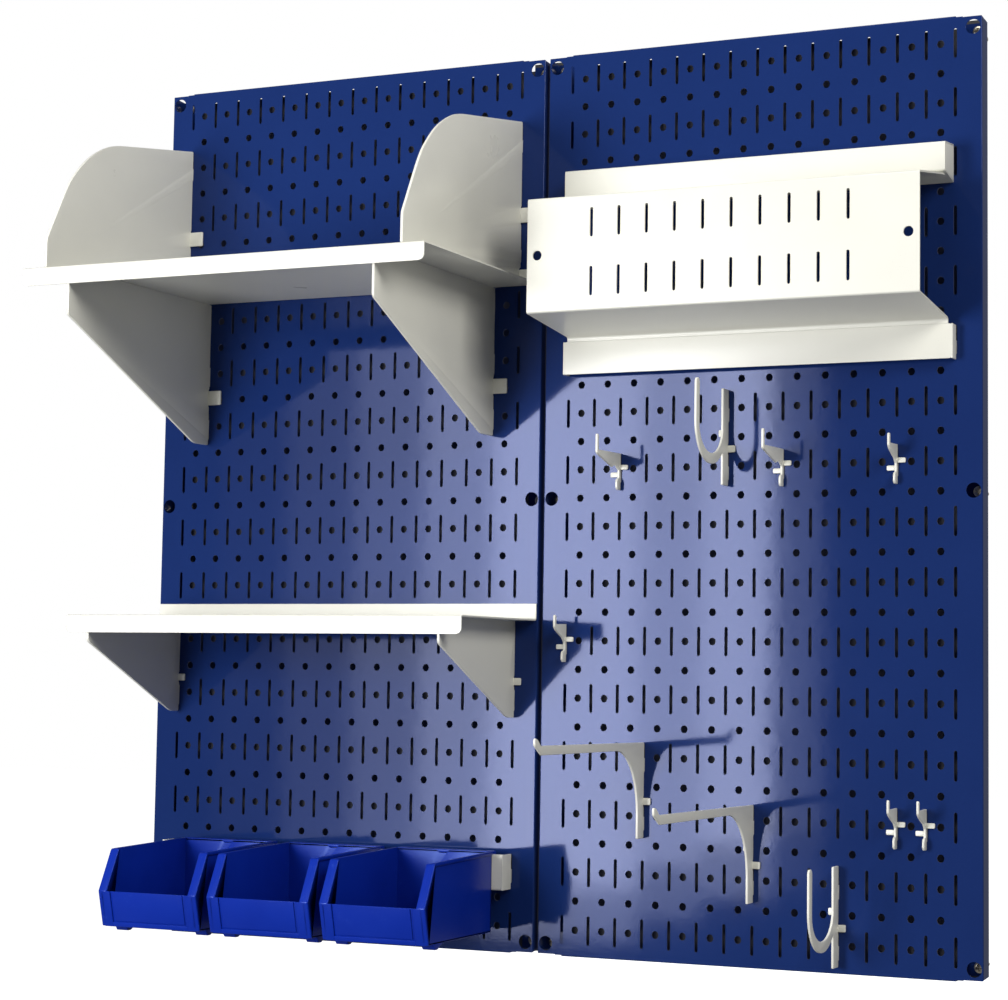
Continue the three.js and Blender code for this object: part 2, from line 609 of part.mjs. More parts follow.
function bin(index) {
  const x = BIN_GROUP_CENTRE + (index - (BIN_COUNT - 1) / 2) * BIN_PITCH;
  const rear = FACE_Y - RAIL_OFFSET - FIT_GAP;
  const top = RAIL_TOP + BIN_HEIGHT_ABOVE_RAIL;
  const floor = top - BIN_HEIGHT;
  const at = (out, up) => [rear - out, floor + up];
  const bodyHalf = BIN_WIDTH / 2 - BIN_FLANGE_OVERHANG;
  const mouth = BIN_LENGTH - BIN_MOUTH_SETBACK;
  const side = [
    at(0, 0), at(BIN_LENGTH - BIN_FRONT_LEAN, 0), at(BIN_LENGTH, BIN_FRONT_HEIGHT),
    at(mouth, BIN_HEIGHT - BIN_MOUTH_DROP), at(0, BIN_HEIGHT),
  ];
  const w = BIN_WALL;
  const hollow = [
    at(w, w), at(BIN_LENGTH - BIN_FRONT_LEAN - w, w), at(BIN_LENGTH - w, BIN_FRONT_HEIGHT),
    at(BIN_LENGTH + 5, BIN_FRONT_HEIGHT), at(BIN_LENGTH + 5, BIN_HEIGHT + 5), at(w, BIN_HEIGHT + 5),
  ];
  const shell = plateAcross(side, x - bodyHalf, x + bodyHalf)
    .subtract(plateAcross(hollow, x - bodyHalf + w, x + bodyHalf - w));
  const rim = foldedStrip([
    at(BIN_LENGTH - BIN_FRONT_LEAN, 0), at(BIN_LENGTH, BIN_FRONT_HEIGHT),
    at(mouth, BIN_HEIGHT - BIN_MOUTH_DROP),
  ].reverse(), w);
  const half = BIN_WIDTH / 2;
  const flanges = [
    plateAcross(rim, x - half, x - half + BIN_FLANGE),
    plateAcross(rim, x + half - BIN_FLANGE, x + half),
  ];
  const footFront = BIN_LENGTH - BIN_FRONT_LEAN - BIN_FOOT_SETBACK;
  const foot = [
    at(footFront, 1), at(footFront - 4, -BIN_FOOT_DEPTH), at(footFront - 9, -BIN_FOOT_DEPTH),
    at(footFront - BIN_FOOT_LENGTH, 1),
  ];
  const feet = [
    plateAcross(foot, x - bodyHalf, x - bodyHalf + BIN_FOOT_WIDTH),
    plateAcross(foot, x + bodyHalf - BIN_FOOT_WIDTH, x + bodyHalf),
  ];
  const hookBack = rear + FIT_GAP + RAIL_TOP_FLANGE + FIT_GAP;
  const lipFloor = RAIL_TOP + FIT_GAP;
  const lip = [
    [rear - w, lipFloor], [hookBack, lipFloor], [hookBack, lipFloor - BIN_LIP_DROP],
    [hookBack + w, lipFloor - BIN_LIP_DROP], [hookBack + w, top], [rear - w, top],
  ];
  const hanger = plateAcross(lip, x - bodyHalf, x + bodyHalf);
  return join([shell, ...flanges, ...feet, hanger]);
}

// ---- the whole wall ----

const wall = new THREE.Group();
wall.name = 'pegboard_tool_wall';

function addPiece(name, solid, finish) {
  const mesh = new THREE.Mesh(toGeometry(solid), new THREE.MeshStandardMaterial(FINISH[finish]));
  mesh.name = name;
  wall.add(mesh);
}

const panelSolid = rightPanel();
addPiece('panel_left', panelSolid.translate([-PANEL_WIDTH, 0, 0]), 'panel');
addPiece('panel_right', panelSolid, 'panel');

[['left', -PANEL_WIDTH], ['right', 0]].forEach(([side, shift]) => {
  fixingPlaces().forEach(([x, z], i) => addPiece(`screw_${side}_${i + 1}`, wallScrew(x + shift, z), 'zinc'));
});

addPiece('shelf_upper_tray', tray(UPPER_TRAY_TOP, UPPER_TRAY_DEPTH), 'white');
addPiece('shelf_lower_tray', tray(LOWER_TRAY_TOP, LOWER_TRAY_DEPTH), 'white');
['left', 'right'].forEach((side, i) => {
  addPiece(`shelf_upper_bracket_${side}`,
    shelfBracket(UPPER_BRACKET_COLUMNS[i], UPPER_BRACKET_ROWS, UPPER_BRACKET), 'white');
  addPiece(`shelf_lower_bracket_${side}`,
    shelfBracket(LOWER_BRACKET_COLUMNS[i], LOWER_BRACKET_ROWS, LOWER_BRACKET), 'white');
  addPiece(`shelf_divider_${side}`, shelfDivider(DIVIDER_COLUMNS[i]), 'white');
});

addPiece('tool_holder_tray', holderTray(), 'white');
addPiece('tool_holder_rail', holderRail(), 'white');
addPiece('bin_rail', binRail(), 'white');
['left', 'middle', 'right'].forEach((place, i) => addPiece(`bin_${place}`, bin(i), 'bin'));

LONG_HOOKS.forEach(([name, col, row]) => addPiece(name, longHook(col, row), 'white'));
SHORT_HOOKS.forEach(([name, col, row]) => addPiece(name, shortHook(col, row), 'white'));
CRADLE_HOOKS.forEach(([name, col, row]) => addPiece(name, cradleHook(col, row), 'white'));
ARM_HOOKS.forEach(([name, col, row]) => addPiece(name, armHook(col, row), 'white'));

export default wall;
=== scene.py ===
# %% [markdown]
# # A pegboard tool wall
#
# Two folded steel panels hang side by side on a wall. Shelves, a stand-off tool holder, a rail of
# small-parts bins and cut-plate hooks hang in their slots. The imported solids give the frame: every
# visible piece below is built in the same place, in more detail, and rides on the same body.

# %% Load the frame
import json
import math

import bmesh
import bpy
import numpy as np
from mathutils import Matrix, Vector


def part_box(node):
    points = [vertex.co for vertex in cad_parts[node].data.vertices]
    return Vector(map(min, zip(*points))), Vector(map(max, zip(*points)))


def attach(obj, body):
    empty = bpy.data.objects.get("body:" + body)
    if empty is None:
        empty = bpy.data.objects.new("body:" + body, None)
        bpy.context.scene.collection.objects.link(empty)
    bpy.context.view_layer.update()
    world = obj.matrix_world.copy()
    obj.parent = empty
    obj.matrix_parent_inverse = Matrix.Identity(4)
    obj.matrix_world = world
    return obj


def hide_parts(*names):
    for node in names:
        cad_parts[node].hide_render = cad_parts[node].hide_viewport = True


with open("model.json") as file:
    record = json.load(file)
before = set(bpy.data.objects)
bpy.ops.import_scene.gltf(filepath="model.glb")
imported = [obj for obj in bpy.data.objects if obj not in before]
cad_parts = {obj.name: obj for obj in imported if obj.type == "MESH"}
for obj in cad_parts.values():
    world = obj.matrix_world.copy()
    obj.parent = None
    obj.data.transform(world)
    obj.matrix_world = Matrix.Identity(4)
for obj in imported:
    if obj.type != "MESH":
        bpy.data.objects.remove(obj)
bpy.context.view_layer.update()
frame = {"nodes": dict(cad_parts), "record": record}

# %% [markdown]
# ## The sizes that everything shares
#
# Shapes are worked out in millimetres and turned into metres when a mesh is made. X runs right from
# the seam, Y runs into the wall, Z runs up. Slots and holes sit on a one-inch grid, sixteen steps
# across and thirty-two up on each panel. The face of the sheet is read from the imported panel, so the
# detailed pieces follow it.

# %% Shared sizes
MM = 0.001
STEP = 25.4
COLUMNS, ROWS = 16, 32
PANEL_WIDTH, PANEL_HEIGHT = COLUMNS * STEP, ROWS * STEP
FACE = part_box("panel_right")[0].y / MM
PLATE_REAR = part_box("shelf_upper_tray")[1].y / MM
SHEET = 0.9
print(f"panel face at y = {FACE:.2f} mm, hung plates start at y = {PLATE_REAR:.2f} mm")

# %% [markdown]
# ## The camera
#
# The wall is seen from the right and slightly from below its middle, with a long lens.

# %% Camera
CAMERA_PLACE = np.array([34.9365, -74.8508, 9.8573]) * STEP * MM
CAMERA_TURN = (-0.0818, -0.0223, -0.4073)
CAMERA_LENS = 83.52
CAMERA_SHIFT = (-0.1023, -0.0227)


def standing(right, up, back, place):
    """The matrix of a camera or light: its three axes and its place as columns."""
    return Matrix([*np.column_stack([right, up, back, place]).tolist(), [0, 0, 0, 1]])


def make_camera():
    """Three plain turns, tilt about X, roll about Y and pan about the lens axis, from a camera that
    looks straight at the wall. A camera looks along its own -Z with +Y up, hence the minus signs."""
    tilt, roll, pan = (Matrix.Rotation(turn, 3, axis) for turn, axis in zip(CAMERA_TURN, "XYZ"))
    right, down, forward = Matrix(((1, 0, 0), (0, 0, -1), (0, 1, 0))) @ (pan @ roll @ tilt)
    data = bpy.data.cameras.new("wall_camera")
    data.lens = CAMERA_LENS
    data.shift_x, data.shift_y = CAMERA_SHIFT
    camera = bpy.data.objects.new("wall_camera", data)
    camera.matrix_world = standing(right, -down, -forward, CAMERA_PLACE + (0, FACE * MM, 0))
    bpy.context.scene.collection.objects.link(camera)
    bpy.context.scene.camera = camera
    return camera


camera = make_camera()
print("camera at", tuple(round(v, 3) for v in camera.location))

# %% [markdown]
# ## Shader maths as Python
#
# A small class wraps one node socket. Adding, multiplying and the rest make Math nodes, and one
# method makes any other node, so a material reads like a formula.

# %% Shader helper
class Wire:
    """A value travelling along a node link; arithmetic on it adds Math nodes to the same tree."""

    def __init__(self, tree, socket):
        self.tree, self.socket = tree, socket

    def math(self, operation, *others, flip=False):
        node = self.tree.nodes.new("ShaderNodeMath")
        node.operation = operation
        values = [self, *others][::-1] if flip else [self, *others]
        for slot, value in zip(node.inputs, values):
            plug(self.tree, slot, value)
        return Wire(self.tree, node.outputs[0])

    def __add__(self, other): return self.math("ADD", other)
    def __radd__(self, other): return self.math("ADD", other, flip=True)
    def __sub__(self, other): return self.math("SUBTRACT", other)
    def __rsub__(self, other): return self.math("SUBTRACT", other, flip=True)
    def __mul__(self, other): return self.math("MULTIPLY", other)
    def __rmul__(self, other): return self.math("MULTIPLY", other, flip=True)


def plug(tree, slot, value):
    """A wire is linked to the socket; anything else becomes the socket's own value."""
    if isinstance(value, Wire):
        tree.links.new(value.socket, slot)
    else:
        slot.default_value = value


class Finish:
    """One material: a Principled shader, with the object's own coordinates as the pattern's space."""

    def __init__(self, name, **constants):
        self.material = bpy.data.materials.new(name)
        self.material.use_nodes = True
        self.tree = self.material.node_tree
        self.shader = self.tree.nodes["Principled BSDF"]
        for key, value in constants.items():
            self.shader.inputs[key.replace("_", " ")].default_value = value
        self.place = self.node("ShaderNodeTexCoord", output="Object")

    def node(self, kind, settings=(), output=0, ramp=(), **inputs):
        """Makes a node: its settings first, a ramp's stops next, then its sockets by name."""
        node = self.tree.nodes.new(kind)
        for key, value in dict(settings).items():
            setattr(node, key, value)
        for element, (position, grey) in zip(node.color_ramp.elements if ramp else (), ramp):
            element.position, element.color = position, (grey, grey, grey, 1)
        for key, value in inputs.items():
            plug(self.tree, node.inputs[key.replace("_", " ")], value)
        return Wire(self.tree, node.outputs[output])

    def noise(self, size_mm, detail=2.0, roughness=0.5, along=None):
        """Noise whose lumps are about size_mm across."""
        where = along or self.place
        return self.node("ShaderNodeTexNoise", Vector=where, Scale=1 / (size_mm * MM), Detail=detail,
                         Roughness=roughness)

    def mask(self, value, low, high):
        """0 below low, 1 above high, and an even rise between."""
        return self.node("ShaderNodeMapRange", Value=value, From_Min=low, From_Max=high)

    def mix(self, amount, first, second):
        """A blend of two colours: the first where amount is 0, the second where it is 1."""
        node = self.tree.nodes.new("ShaderNodeMix")
        node.data_type = "RGBA"
        for slot, value in zip((node.inputs[0], node.inputs[6], node.inputs[7]), (amount, first, second)):
            plug(self.tree, slot, value)
        return Wire(self.tree, node.outputs[2])

    def bumps(self, *layers):
        """Each layer is (height, depth in mm); they are stacked on one another into one normal."""
        normal = None
        for height, depth in layers:
            extra = {"Normal": normal} if normal else {}
            normal = self.node("ShaderNodeBump", Height=height, Distance=depth * MM, Strength=1.0,
                               **extra)
        return normal

    def set(self, **inputs):
        """Puts wires or values into the shader's sockets and hands back the material."""
        for key, value in inputs.items():
            plug(self.tree, self.shader.inputs[key.replace("_", " ")], value)
        return self.material

# %% [markdown]
# ## Blue powder coat
#
# The panels are sprayed with dry powder and baked. The film flows out glossy but keeps an orange-peel
# skin: waves about two millimetres long and a few microns high, on a slower unevenness. Bump carries
# both, because real waves that shallow would need millions of faces. A faint dust and a few handling
# marks change roughness and colour.

# %% Material: blue powder coat
def blue_powder_coat():
    coat = Finish("blue_powder_coat", IOR=1.5, Specular_IOR_Level=0.25,
                  Specular_Tint=(0.62, 0.68, 1.0, 1))
    cloud = coat.noise(90, detail=3)
    dust = coat.mask(coat.noise(0.9, detail=4, roughness=0.7), 0.62, 0.82)
    rubs = coat.mask(coat.noise(22, detail=6, roughness=0.75), 0.60, 0.80)
    colour = coat.mix(cloud, (0.0050, 0.0165, 0.088, 1), (0.0078, 0.0235, 0.115, 1))
    colour = coat.mix(dust * 0.22, colour, (0.10, 0.13, 0.26, 1))
    colour = coat.mix(0.4 * coat.noise(1.3, detail=3, roughness=0.8), colour, (0.012, 0.036, 0.18, 1))
    peel = coat.noise(2.1, detail=1.5)
    slow = coat.noise(14, detail=1)
    return coat.set(
        Base_Color=colour,
        Roughness=0.055 + 0.03 * cloud + 0.12 * dust + 0.05 * rubs,
        Normal=coat.bumps((slow, 0.022), (peel, 0.010)),
    )

# %% [markdown]
# ## White powder coat
#
# The hung pieces wear a satin white coat of one slightly warm tint. Its peel is finer than the
# panels'.

# %% Material: white powder coat
def white_powder_coat():
    coat = Finish("white_powder_coat", IOR=1.5, Specular_IOR_Level=0.45)
    cloud = coat.noise(60, detail=3)
    grime = coat.mask(coat.noise(7, detail=6, roughness=0.7), 0.56, 0.86)
    speck = coat.mask(coat.noise(0.8, detail=2), 0.70, 0.80)
    colour = coat.mix(cloud, (0.71, 0.705, 0.645, 1), (0.77, 0.765, 0.70, 1))
    colour = coat.mix(grime * 0.06, colour, (0.60, 0.58, 0.52, 1))
    colour = coat.mix(speck * 0.35, colour, (0.40, 0.39, 0.36, 1))
    peel = coat.noise(1.5, detail=2)
    slow = coat.noise(18, detail=1)
    return coat.set(
        Base_Color=colour,
        Roughness=0.26 + 0.05 * cloud + 0.03 * grime,
        Normal=coat.bumps((slow, 0.05), (peel, 0.035)),
    )

# %% [markdown]
# ## Blue plastic
#
# The bins are injection-moulded polypropylene, saturated blue, with the fine spark-eroded texture of
# their mould and paler scuffs where they have been rubbed.

# %% Material: bin plastic
def bin_plastic():
    plastic = Finish("bin_plastic", IOR=1.49, Specular_IOR_Level=0.42, Specular_Tint=(0.35, 0.5, 1.0, 1))
    cloud = plastic.noise(45, detail=3)
    scuff = plastic.mask(plastic.noise(9, detail=7, roughness=0.78), 0.60, 0.80)
    grain = plastic.noise(0.55, detail=2)
    colour = plastic.mix(cloud, (0.002, 0.016, 0.25, 1), (0.004, 0.026, 0.34, 1))
    colour = plastic.mix(scuff * 0.30, colour, (0.05, 0.12, 0.60, 1))
    return plastic.set(
        Base_Color=colour,
        Roughness=0.25 + 0.10 * cloud + 0.18 * scuff,
        Normal=plastic.bumps((plastic.noise(30, detail=1), 0.15), (grain, 0.05)),
    )

# %% [markdown]
# ## Zinc plate
#
# The wall screws are steel with a yellow-tinged zinc plate, turned in a lathe, so their grain is fine
# and their tint wanders.

# %% Material: zinc plate
def zinc_plate():
    zinc = Finish("zinc_plate", Metallic=1.0)
    tint = zinc.noise(2.5, detail=3)
    grain = zinc.noise(0.25, detail=2)
    colour = zinc.mix(tint, (0.60, 0.52, 0.34, 1), (0.74, 0.72, 0.66, 1))
    return zinc.set(
        Base_Color=colour,
        Roughness=0.22 + 0.18 * grain + 0.1 * tint,
        Normal=zinc.bumps((grain, 0.01)),
    )


FINISHES = {
    "panel_blue": blue_powder_coat(),
    "white_coat": white_powder_coat(),
    "bin_blue": bin_plastic(),
    "zinc": zinc_plate(),
}
print("finishes:", ", ".join(FINISHES))

# %% [markdown]
# ## From arrays to pieces
#
# A shape is a pair of arrays, points and faces. One function stacks the parts of a piece into a mesh,
# welds what touches, turns closed shells outwards, and hands the object to its body.

# %% Mesh helpers
SHARP_FROM = math.radians(32)
WELD = 2e-6


def grid_faces(rows, cols, wrap=False):
    """Quads between neighbouring rows and columns; with wrap, the last column meets the first."""
    row = np.arange(rows - 1)[:, None]
    col = np.arange(cols if wrap else cols - 1)[None, :]
    after = (col + 1) % cols
    corners = (row * cols + col, row * cols + after, (row + 1) * cols + after, (row + 1) * cols + col)
    return np.stack(corners, -1).reshape(-1, 4)


def points_of(x, y, z):
    """Coordinates broadcast against one another into one list of points."""
    return np.stack(np.broadcast_arrays(x, y, z), -1).reshape(-1, 3)


def linked(name, points, faces, material):
    """A mesh of points in mm, with its material, in an object that is linked to the scene."""
    mesh = bpy.data.meshes.new(name)
    mesh.from_pydata((points * MM).tolist(), [], faces)
    mesh.materials.append(material)
    made = bpy.data.objects.new(name, mesh)
    bpy.context.scene.collection.objects.link(made)
    return made


def make_piece(name, parts, slot, body, node, shell=None):
    """parts: (points in mm, list of face arrays). shell: a sheet's thickness, added behind its face.
    Grid points inside a hole belong to no face, so only the points in use go into the mesh."""
    points, faces, start = [], [], 0
    for part_points, part_faces in parts:
        points.append(np.asarray(part_points, float))
        faces += [face for block in part_faces for face in np.atleast_2d(block) + start]
        start += len(part_points)
    used, order = np.unique(np.concatenate(faces), return_inverse=True)
    ends = np.cumsum([len(face) for face in faces])
    loops = [loop.tolist() for loop in np.split(order, ends[:-1])]
    piece = linked(name, np.vstack(points)[used], loops, FINISHES[slot])
    work = bmesh.new()
    work.from_mesh(piece.data)
    bmesh.ops.remove_doubles(work, verts=work.verts, dist=WELD)
    if shell is None:
        bmesh.ops.recalc_face_normals(work, faces=work.faces)
    work.to_mesh(piece.data)
    work.free()
    if shell is None:
        piece.data.shade_smooth()
        piece.data.set_sharp_from_angle(angle=SHARP_FROM)
    else:
        solid = piece.modifiers.new("sheet", "SOLIDIFY")
        solid.thickness, solid.offset = shell * MM, -1
    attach(piece, body)
    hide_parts(node)
    return piece

# %% [markdown]
# ## A sheet with holes in it
#
# Punched sheet is a grid of quads in which each hole takes over a block of cells. Around a hole, every
# point on the block's border is drawn in to the nearest point of a rounded slot, and one ring of quads
# joins the two. A round hole is a slot without a straight stretch. It costs a couple of dozen quads a
# hole and stays clean, where a boolean cut of hundreds of holes would leave slivers.

# %% Punched sheet
def punched(us, vs, kinds):
    """Points (u, v) and quads of a sheet. Each kind of hole is a dict: middle (m, 2), the block's first
    column i and row j, its size ni by nj cells, and half (u, v), half its length each way."""
    us, vs = np.asarray(us, float), np.asarray(vs, float)
    nv = len(vs)
    grid = np.stack(np.meshgrid(us, vs, indexing="ij"), -1).reshape(-1, 2)
    whole = np.ones((len(us) - 1, nv - 1), bool)
    points, quads, count = [grid], [], len(grid)
    for kind in kinds:
        ni, nj, half = kind["ni"], kind["nj"], np.asarray(kind["half"], float)
        east, north = np.arange(ni), np.arange(nj)
        walk_i = np.concatenate([east, np.full(nj, ni), ni - east, np.zeros(nj, int)])
        walk_j = np.concatenate([np.zeros(ni, int), north, np.full(ni, nj), nj - north])
        i0, j0 = np.asarray(kind["i"])[:, None], np.asarray(kind["j"])[:, None]
        border = (i0 + walk_i) * nv + j0 + walk_j
        middle = np.asarray(kind["middle"], float)[:, None]
        offset = grid[border] - middle
        radius = half.min()
        spine = np.clip(offset, radius - half, half - radius)
        away = offset - spine
        ring = middle + spine + away * (radius / np.linalg.norm(away, axis=-1, keepdims=True))
        inner = count + np.arange(border.size).reshape(border.shape)
        around = [border, np.roll(border, -1, 1), np.roll(inner, -1, 1), inner]
        quads.append(np.stack(around, -1).reshape(-1, 4))
        points.append(ring.reshape(-1, 2))
        count += border.size
        cut_i, cut_j = np.meshgrid(east, north, indexing="ij")
        whole[i0 + cut_i.ravel(), j0 + cut_j.ravel()] = False
    i, j = np.nonzero(whole)
    corner = i * nv + j
    quads.append(np.stack([corner, corner + nv, corner + nv + 1, corner + 1], -1))
    return np.vstack(points), np.vstack(quads)


def bent_line(corners, radius, per_bend=7):
    """A line through the corners with an arc at each bend; returns its points and the length along it.
    An arc starts where the straight is tangent to it and turns by the angle between the straights."""
    corners = np.asarray(corners, float)
    line = [corners[0]]
    for before, corner, after in zip(corners[:-2], corners[1:-1], corners[2:]):
        into = (corner - before) / np.linalg.norm(corner - before)
        out = (after - corner) / np.linalg.norm(after - corner)
        turn = math.acos(np.clip(into @ out, -1, 1))
        aside = (out - into * (into @ out)) / math.sin(turn)
        angle = np.linspace(0, turn, per_bend)[:, None]
        start = corner - into * radius * math.tan(turn / 2)
        line.extend(start + radius * (np.sin(angle) * into + (1 - np.cos(angle)) * aside))
    line.append(corners[-1])
    line = np.array(line)
    steps = np.linalg.norm(np.diff(line, axis=0), axis=1)
    return line, np.concatenate([[0], np.cumsum(steps)])

# %% [markdown]
# ## The two panels
#
# Each panel is a shallow steel tray: a face with slots and quarter-inch holes on the grid, sides bent
# back to the wall with return lips behind, and flanges folded back along the top and bottom between
# notched corners. The face is punched sheet, and the sides are a bent line carried along the edges.
# Solidify gives the sheet its thickness, so light catches the wall of every hole.

# %% Panel sizes
EDGE_INSET = 2.2
EDGE_BEND = 1.0
NOTCH = 1.5
LIP = 19.0
SLOT_HALF = (1.5, 12.7)
PEG_HOLE = 3.35
ACCESS_HOLE, ACCESS_BLOCK = 6.4, 8.5
ACCESS_INSET = 9.9
ACCESS_ROWS = np.array([0.5, 16, 31.5])
FLAT_IN = EDGE_INSET + EDGE_BEND
MARGIN = 0.75 * STEP

# %% Panel: the punched face
def punched_face():
    """Slots at whole columns and odd rows, round holes at half columns and every row. Cells are an
    eighth of a step wide and a quarter of a step high, so slot blocks and hole blocks share borders."""
    xs = np.arange(6, 123) * STEP / 8
    zs = np.concatenate([[FLAT_IN], np.arange(1, 4 * ROWS) * STEP / 4, [PANEL_HEIGHT - FLAT_IN]])
    col, row = (a.ravel() for a in np.meshgrid(np.arange(1, COLUMNS), np.arange(1, ROWS, 2)))
    slots = {"middle": np.stack([col, row], -1) * STEP, "i": 8 * col - 8, "j": 4 * row - 4,
             "ni": 4, "nj": 8, "half": SLOT_HALF}
    col, row = (a.ravel() for a in np.meshgrid(np.arange(1, COLUMNS - 1), np.arange(1, ROWS)))
    holes = {"middle": np.stack([col + 0.5, row], -1) * STEP, "i": 8 * col - 4, "j": 4 * row - 2,
             "ni": 4, "nj": 4, "half": (PEG_HOLE, PEG_HOLE)}
    points, quads = punched(xs, zs, [slots, holes])
    print("slots:", len(slots["i"]), "round holes:", len(holes["i"]))
    return points, quads


def punched_margin():
    """The strip beside the grid, with the round access holes through which the wall screws are driven."""
    xs = np.linspace(FLAT_IN, MARGIN, 7)
    around = np.linspace(-ACCESS_BLOCK, ACCESS_BLOCK, 9)
    middles = ACCESS_ROWS * STEP
    zs = np.concatenate([[EDGE_INSET + NOTCH], *(middle + around for middle in middles),
                         [PANEL_HEIGHT - EDGE_INSET - NOTCH]])
    holes = {"middle": np.stack([np.full(3, ACCESS_INSET), middles], -1), "i": np.zeros(3, int),
             "j": np.array([1, 10, 19]), "ni": 6, "nj": 8, "half": (ACCESS_HOLE, ACCESS_HOLE)}
    return punched(xs, zs, [holes])

# %% Panel: sides, lips and flanges
def side_return():
    """The side's bent line carried up the panel; beyond the bend its ends draw in, which rounds the
    corner, over the last few millimetres only."""
    section = [(FLAT_IN, FACE), (EDGE_INSET, FACE), (EDGE_INSET, 0), (EDGE_INSET + LIP, 0)]
    line, _ = bent_line(section, EDGE_BEND)
    share = np.clip((line[:, 1] - FACE) / (2 * EDGE_BEND), 0, 1)[:, None]
    ends = EDGE_INSET + NOTCH + 1.6 * share * np.array([1, 0, 0, -1])
    tall = PANEL_HEIGHT - 2 * EDGE_INSET - 2 * NOTCH
    heights = np.array([0, 8, tall - 8, tall]) + ends
    return points_of(line[:, :1], line[:, 1:], heights), grid_faces(len(line), 4)


def end_flange():
    """The flange's bent line carried across the panel between the notched corners."""
    line, _ = bent_line([(FACE, FLAT_IN), (FACE, EDGE_INSET), (-SHEET, EDGE_INSET)], EDGE_BEND)
    xs = np.array([[STEP], [PANEL_WIDTH - STEP]])
    return points_of(xs, line[:, 0], line[:, 1]), grid_faces(2, len(line))


def panel(name, node, shift):
    """Face, margins, sides and flanges; mirroring a part turns its faces, so they are flipped."""
    face, face_quads = punched_face()
    margin, margin_quads = punched_margin()
    face, margin = (points_of(flat[:, 0], FACE, flat[:, 1]) for flat in (face, margin))
    side, side_quads = side_return()
    flange, flange_quads = end_flange()
    mirror_x = lambda p: p * [-1, 1, 1] + [PANEL_WIDTH, 0, 0]
    mirror_z = lambda p: p * [1, 1, -1] + [0, 0, PANEL_HEIGHT]
    parts = [
        (face, [face_quads]),
        (margin, [margin_quads]), (mirror_x(margin), [margin_quads[:, ::-1]]),
        (side, [side_quads]), (mirror_x(side), [side_quads[:, ::-1]]),
        (flange, [flange_quads]), (mirror_z(flange), [flange_quads[:, ::-1]]),
    ]
    shifted = [(points + [shift, 0, 0], faces) for points, faces in parts]
    return make_piece(name, shifted, "panel_blue", "board", node, shell=SHEET)


panel("steel_panel_left", "panel_left", -PANEL_WIDTH)
panel("steel_panel_right", "panel_right", 0.0)

# %% [markdown]
# ## Cut plates
#
# Hooks, brackets and dividers are laser-cut from flat steel. A plate is its outline carried across the
# thickness, drawn in along a short arc at both faces, because the coat rounds a cut edge. Corners are
# rounded first, each by a quadratic curve between points on its two sides.

# %% Plate helpers
EDGE_ROUND, REPEATED = 0.35, 1e-4


def rounded(outline, radius, steps=4):
    """Each corner becomes a quadratic curve that starts and ends `radius` away along its two sides,
    or at 45% of a side that is too short. Radius may be one number or one for each corner."""
    outline = np.asarray(outline, float)
    back, ahead = np.roll(outline, 1, 0) - outline, np.roll(outline, -1, 0) - outline
    reach = np.broadcast_to(np.asarray(radius, float), len(outline))[:, None]
    clip = lambda side: side * np.minimum(reach / np.linalg.norm(side, axis=1, keepdims=True), 0.45)
    start, end = outline + clip(back), outline + clip(ahead)
    t = np.linspace(0, 1, steps)[None, :, None]
    curve = (1 - t) ** 2 * start[:, None] + 2 * t * (1 - t) * outline[:, None] + t**2 * end[:, None]
    return curve.reshape(-1, 2)


def drawn_in(outline, distance):
    """The outline moved inwards: each point goes along the mitre of its two neighbouring sides."""
    side = np.roll(outline, -1, 0) - outline
    side /= np.linalg.norm(side, axis=1, keepdims=True) + 1e-12
    area = np.sum(outline[:, 0] * np.roll(outline[:, 1], -1) - np.roll(outline[:, 0], -1) * outline[:, 1])
    normal = np.stack([-side[:, 1], side[:, 0]], -1) * np.sign(area)
    before = np.roll(normal, 1, 0)
    mitre = (normal + before) / np.maximum(1 + np.sum(normal * before, 1, keepdims=True), 0.4)
    return outline + distance * mitre


def plate(outline, start, end, across="x", edge=EDGE_ROUND):
    """Outline points lie in the plane square to `across` (y, z for x; x, z for y). Rings of it stand at
    the two faces and along the short arcs that round both edges. Repeated points are dropped."""
    outline = np.asarray(outline, float)
    outline = outline[np.linalg.norm(outline - np.roll(outline, 1, 0), axis=1) > REPEATED]
    angle = np.radians([0, 30, 60, 90])
    inset = edge * (1 - np.sin(angle))
    along = edge * (1 - np.cos(angle))
    rings = [(inset[k], start + along[k]) for k in range(4)]
    rings += [(inset[k], end - along[k]) for k in reversed(range(4))]
    order = {"x": (2, 0, 1), "y": (0, 2, 1)}[across]
    n = len(outline)
    points = np.vstack([np.column_stack([drawn_in(outline, d), np.full(n, place)])[:, order]
                        for d, place in rings])
    caps = [np.arange(n)[::-1], np.arange(n) + 7 * n]
    return points, [grid_faces(8, n, wrap=True), *caps]


def upright(outline, radius, x, sheet, steps=4):
    """A cut plate that stands out from the panel, its thickness centred on x."""
    return plate(rounded(outline, radius, steps), x - sheet / 2, x + sheet / 2)

# %% [markdown]
# ## Tabs and wings
#
# A hung plate has tabs that pass through a slot, rest on its lower end and reach down behind the
# sheet. Small wings bent out of the plate lie flat on the panel and stop it from swinging. Beside each
# wing the rear edge steps in a little, where the tool left room for the bend.

# %% Tabs and wings
TAB_BACK, TAB_DROP, TAB_NOSE, TAB_GAP = 4.5, 5.6, 1.2, 0.3
TAB_BEHIND = 1.5
NECK, TALL_NECK = 0.47 * STEP, 0.74 * STEP
WING_SHEET, WING_CORNER = 1.8, 1.1
RELIEF, RELIEF_ROOM = 0.9, 1.2


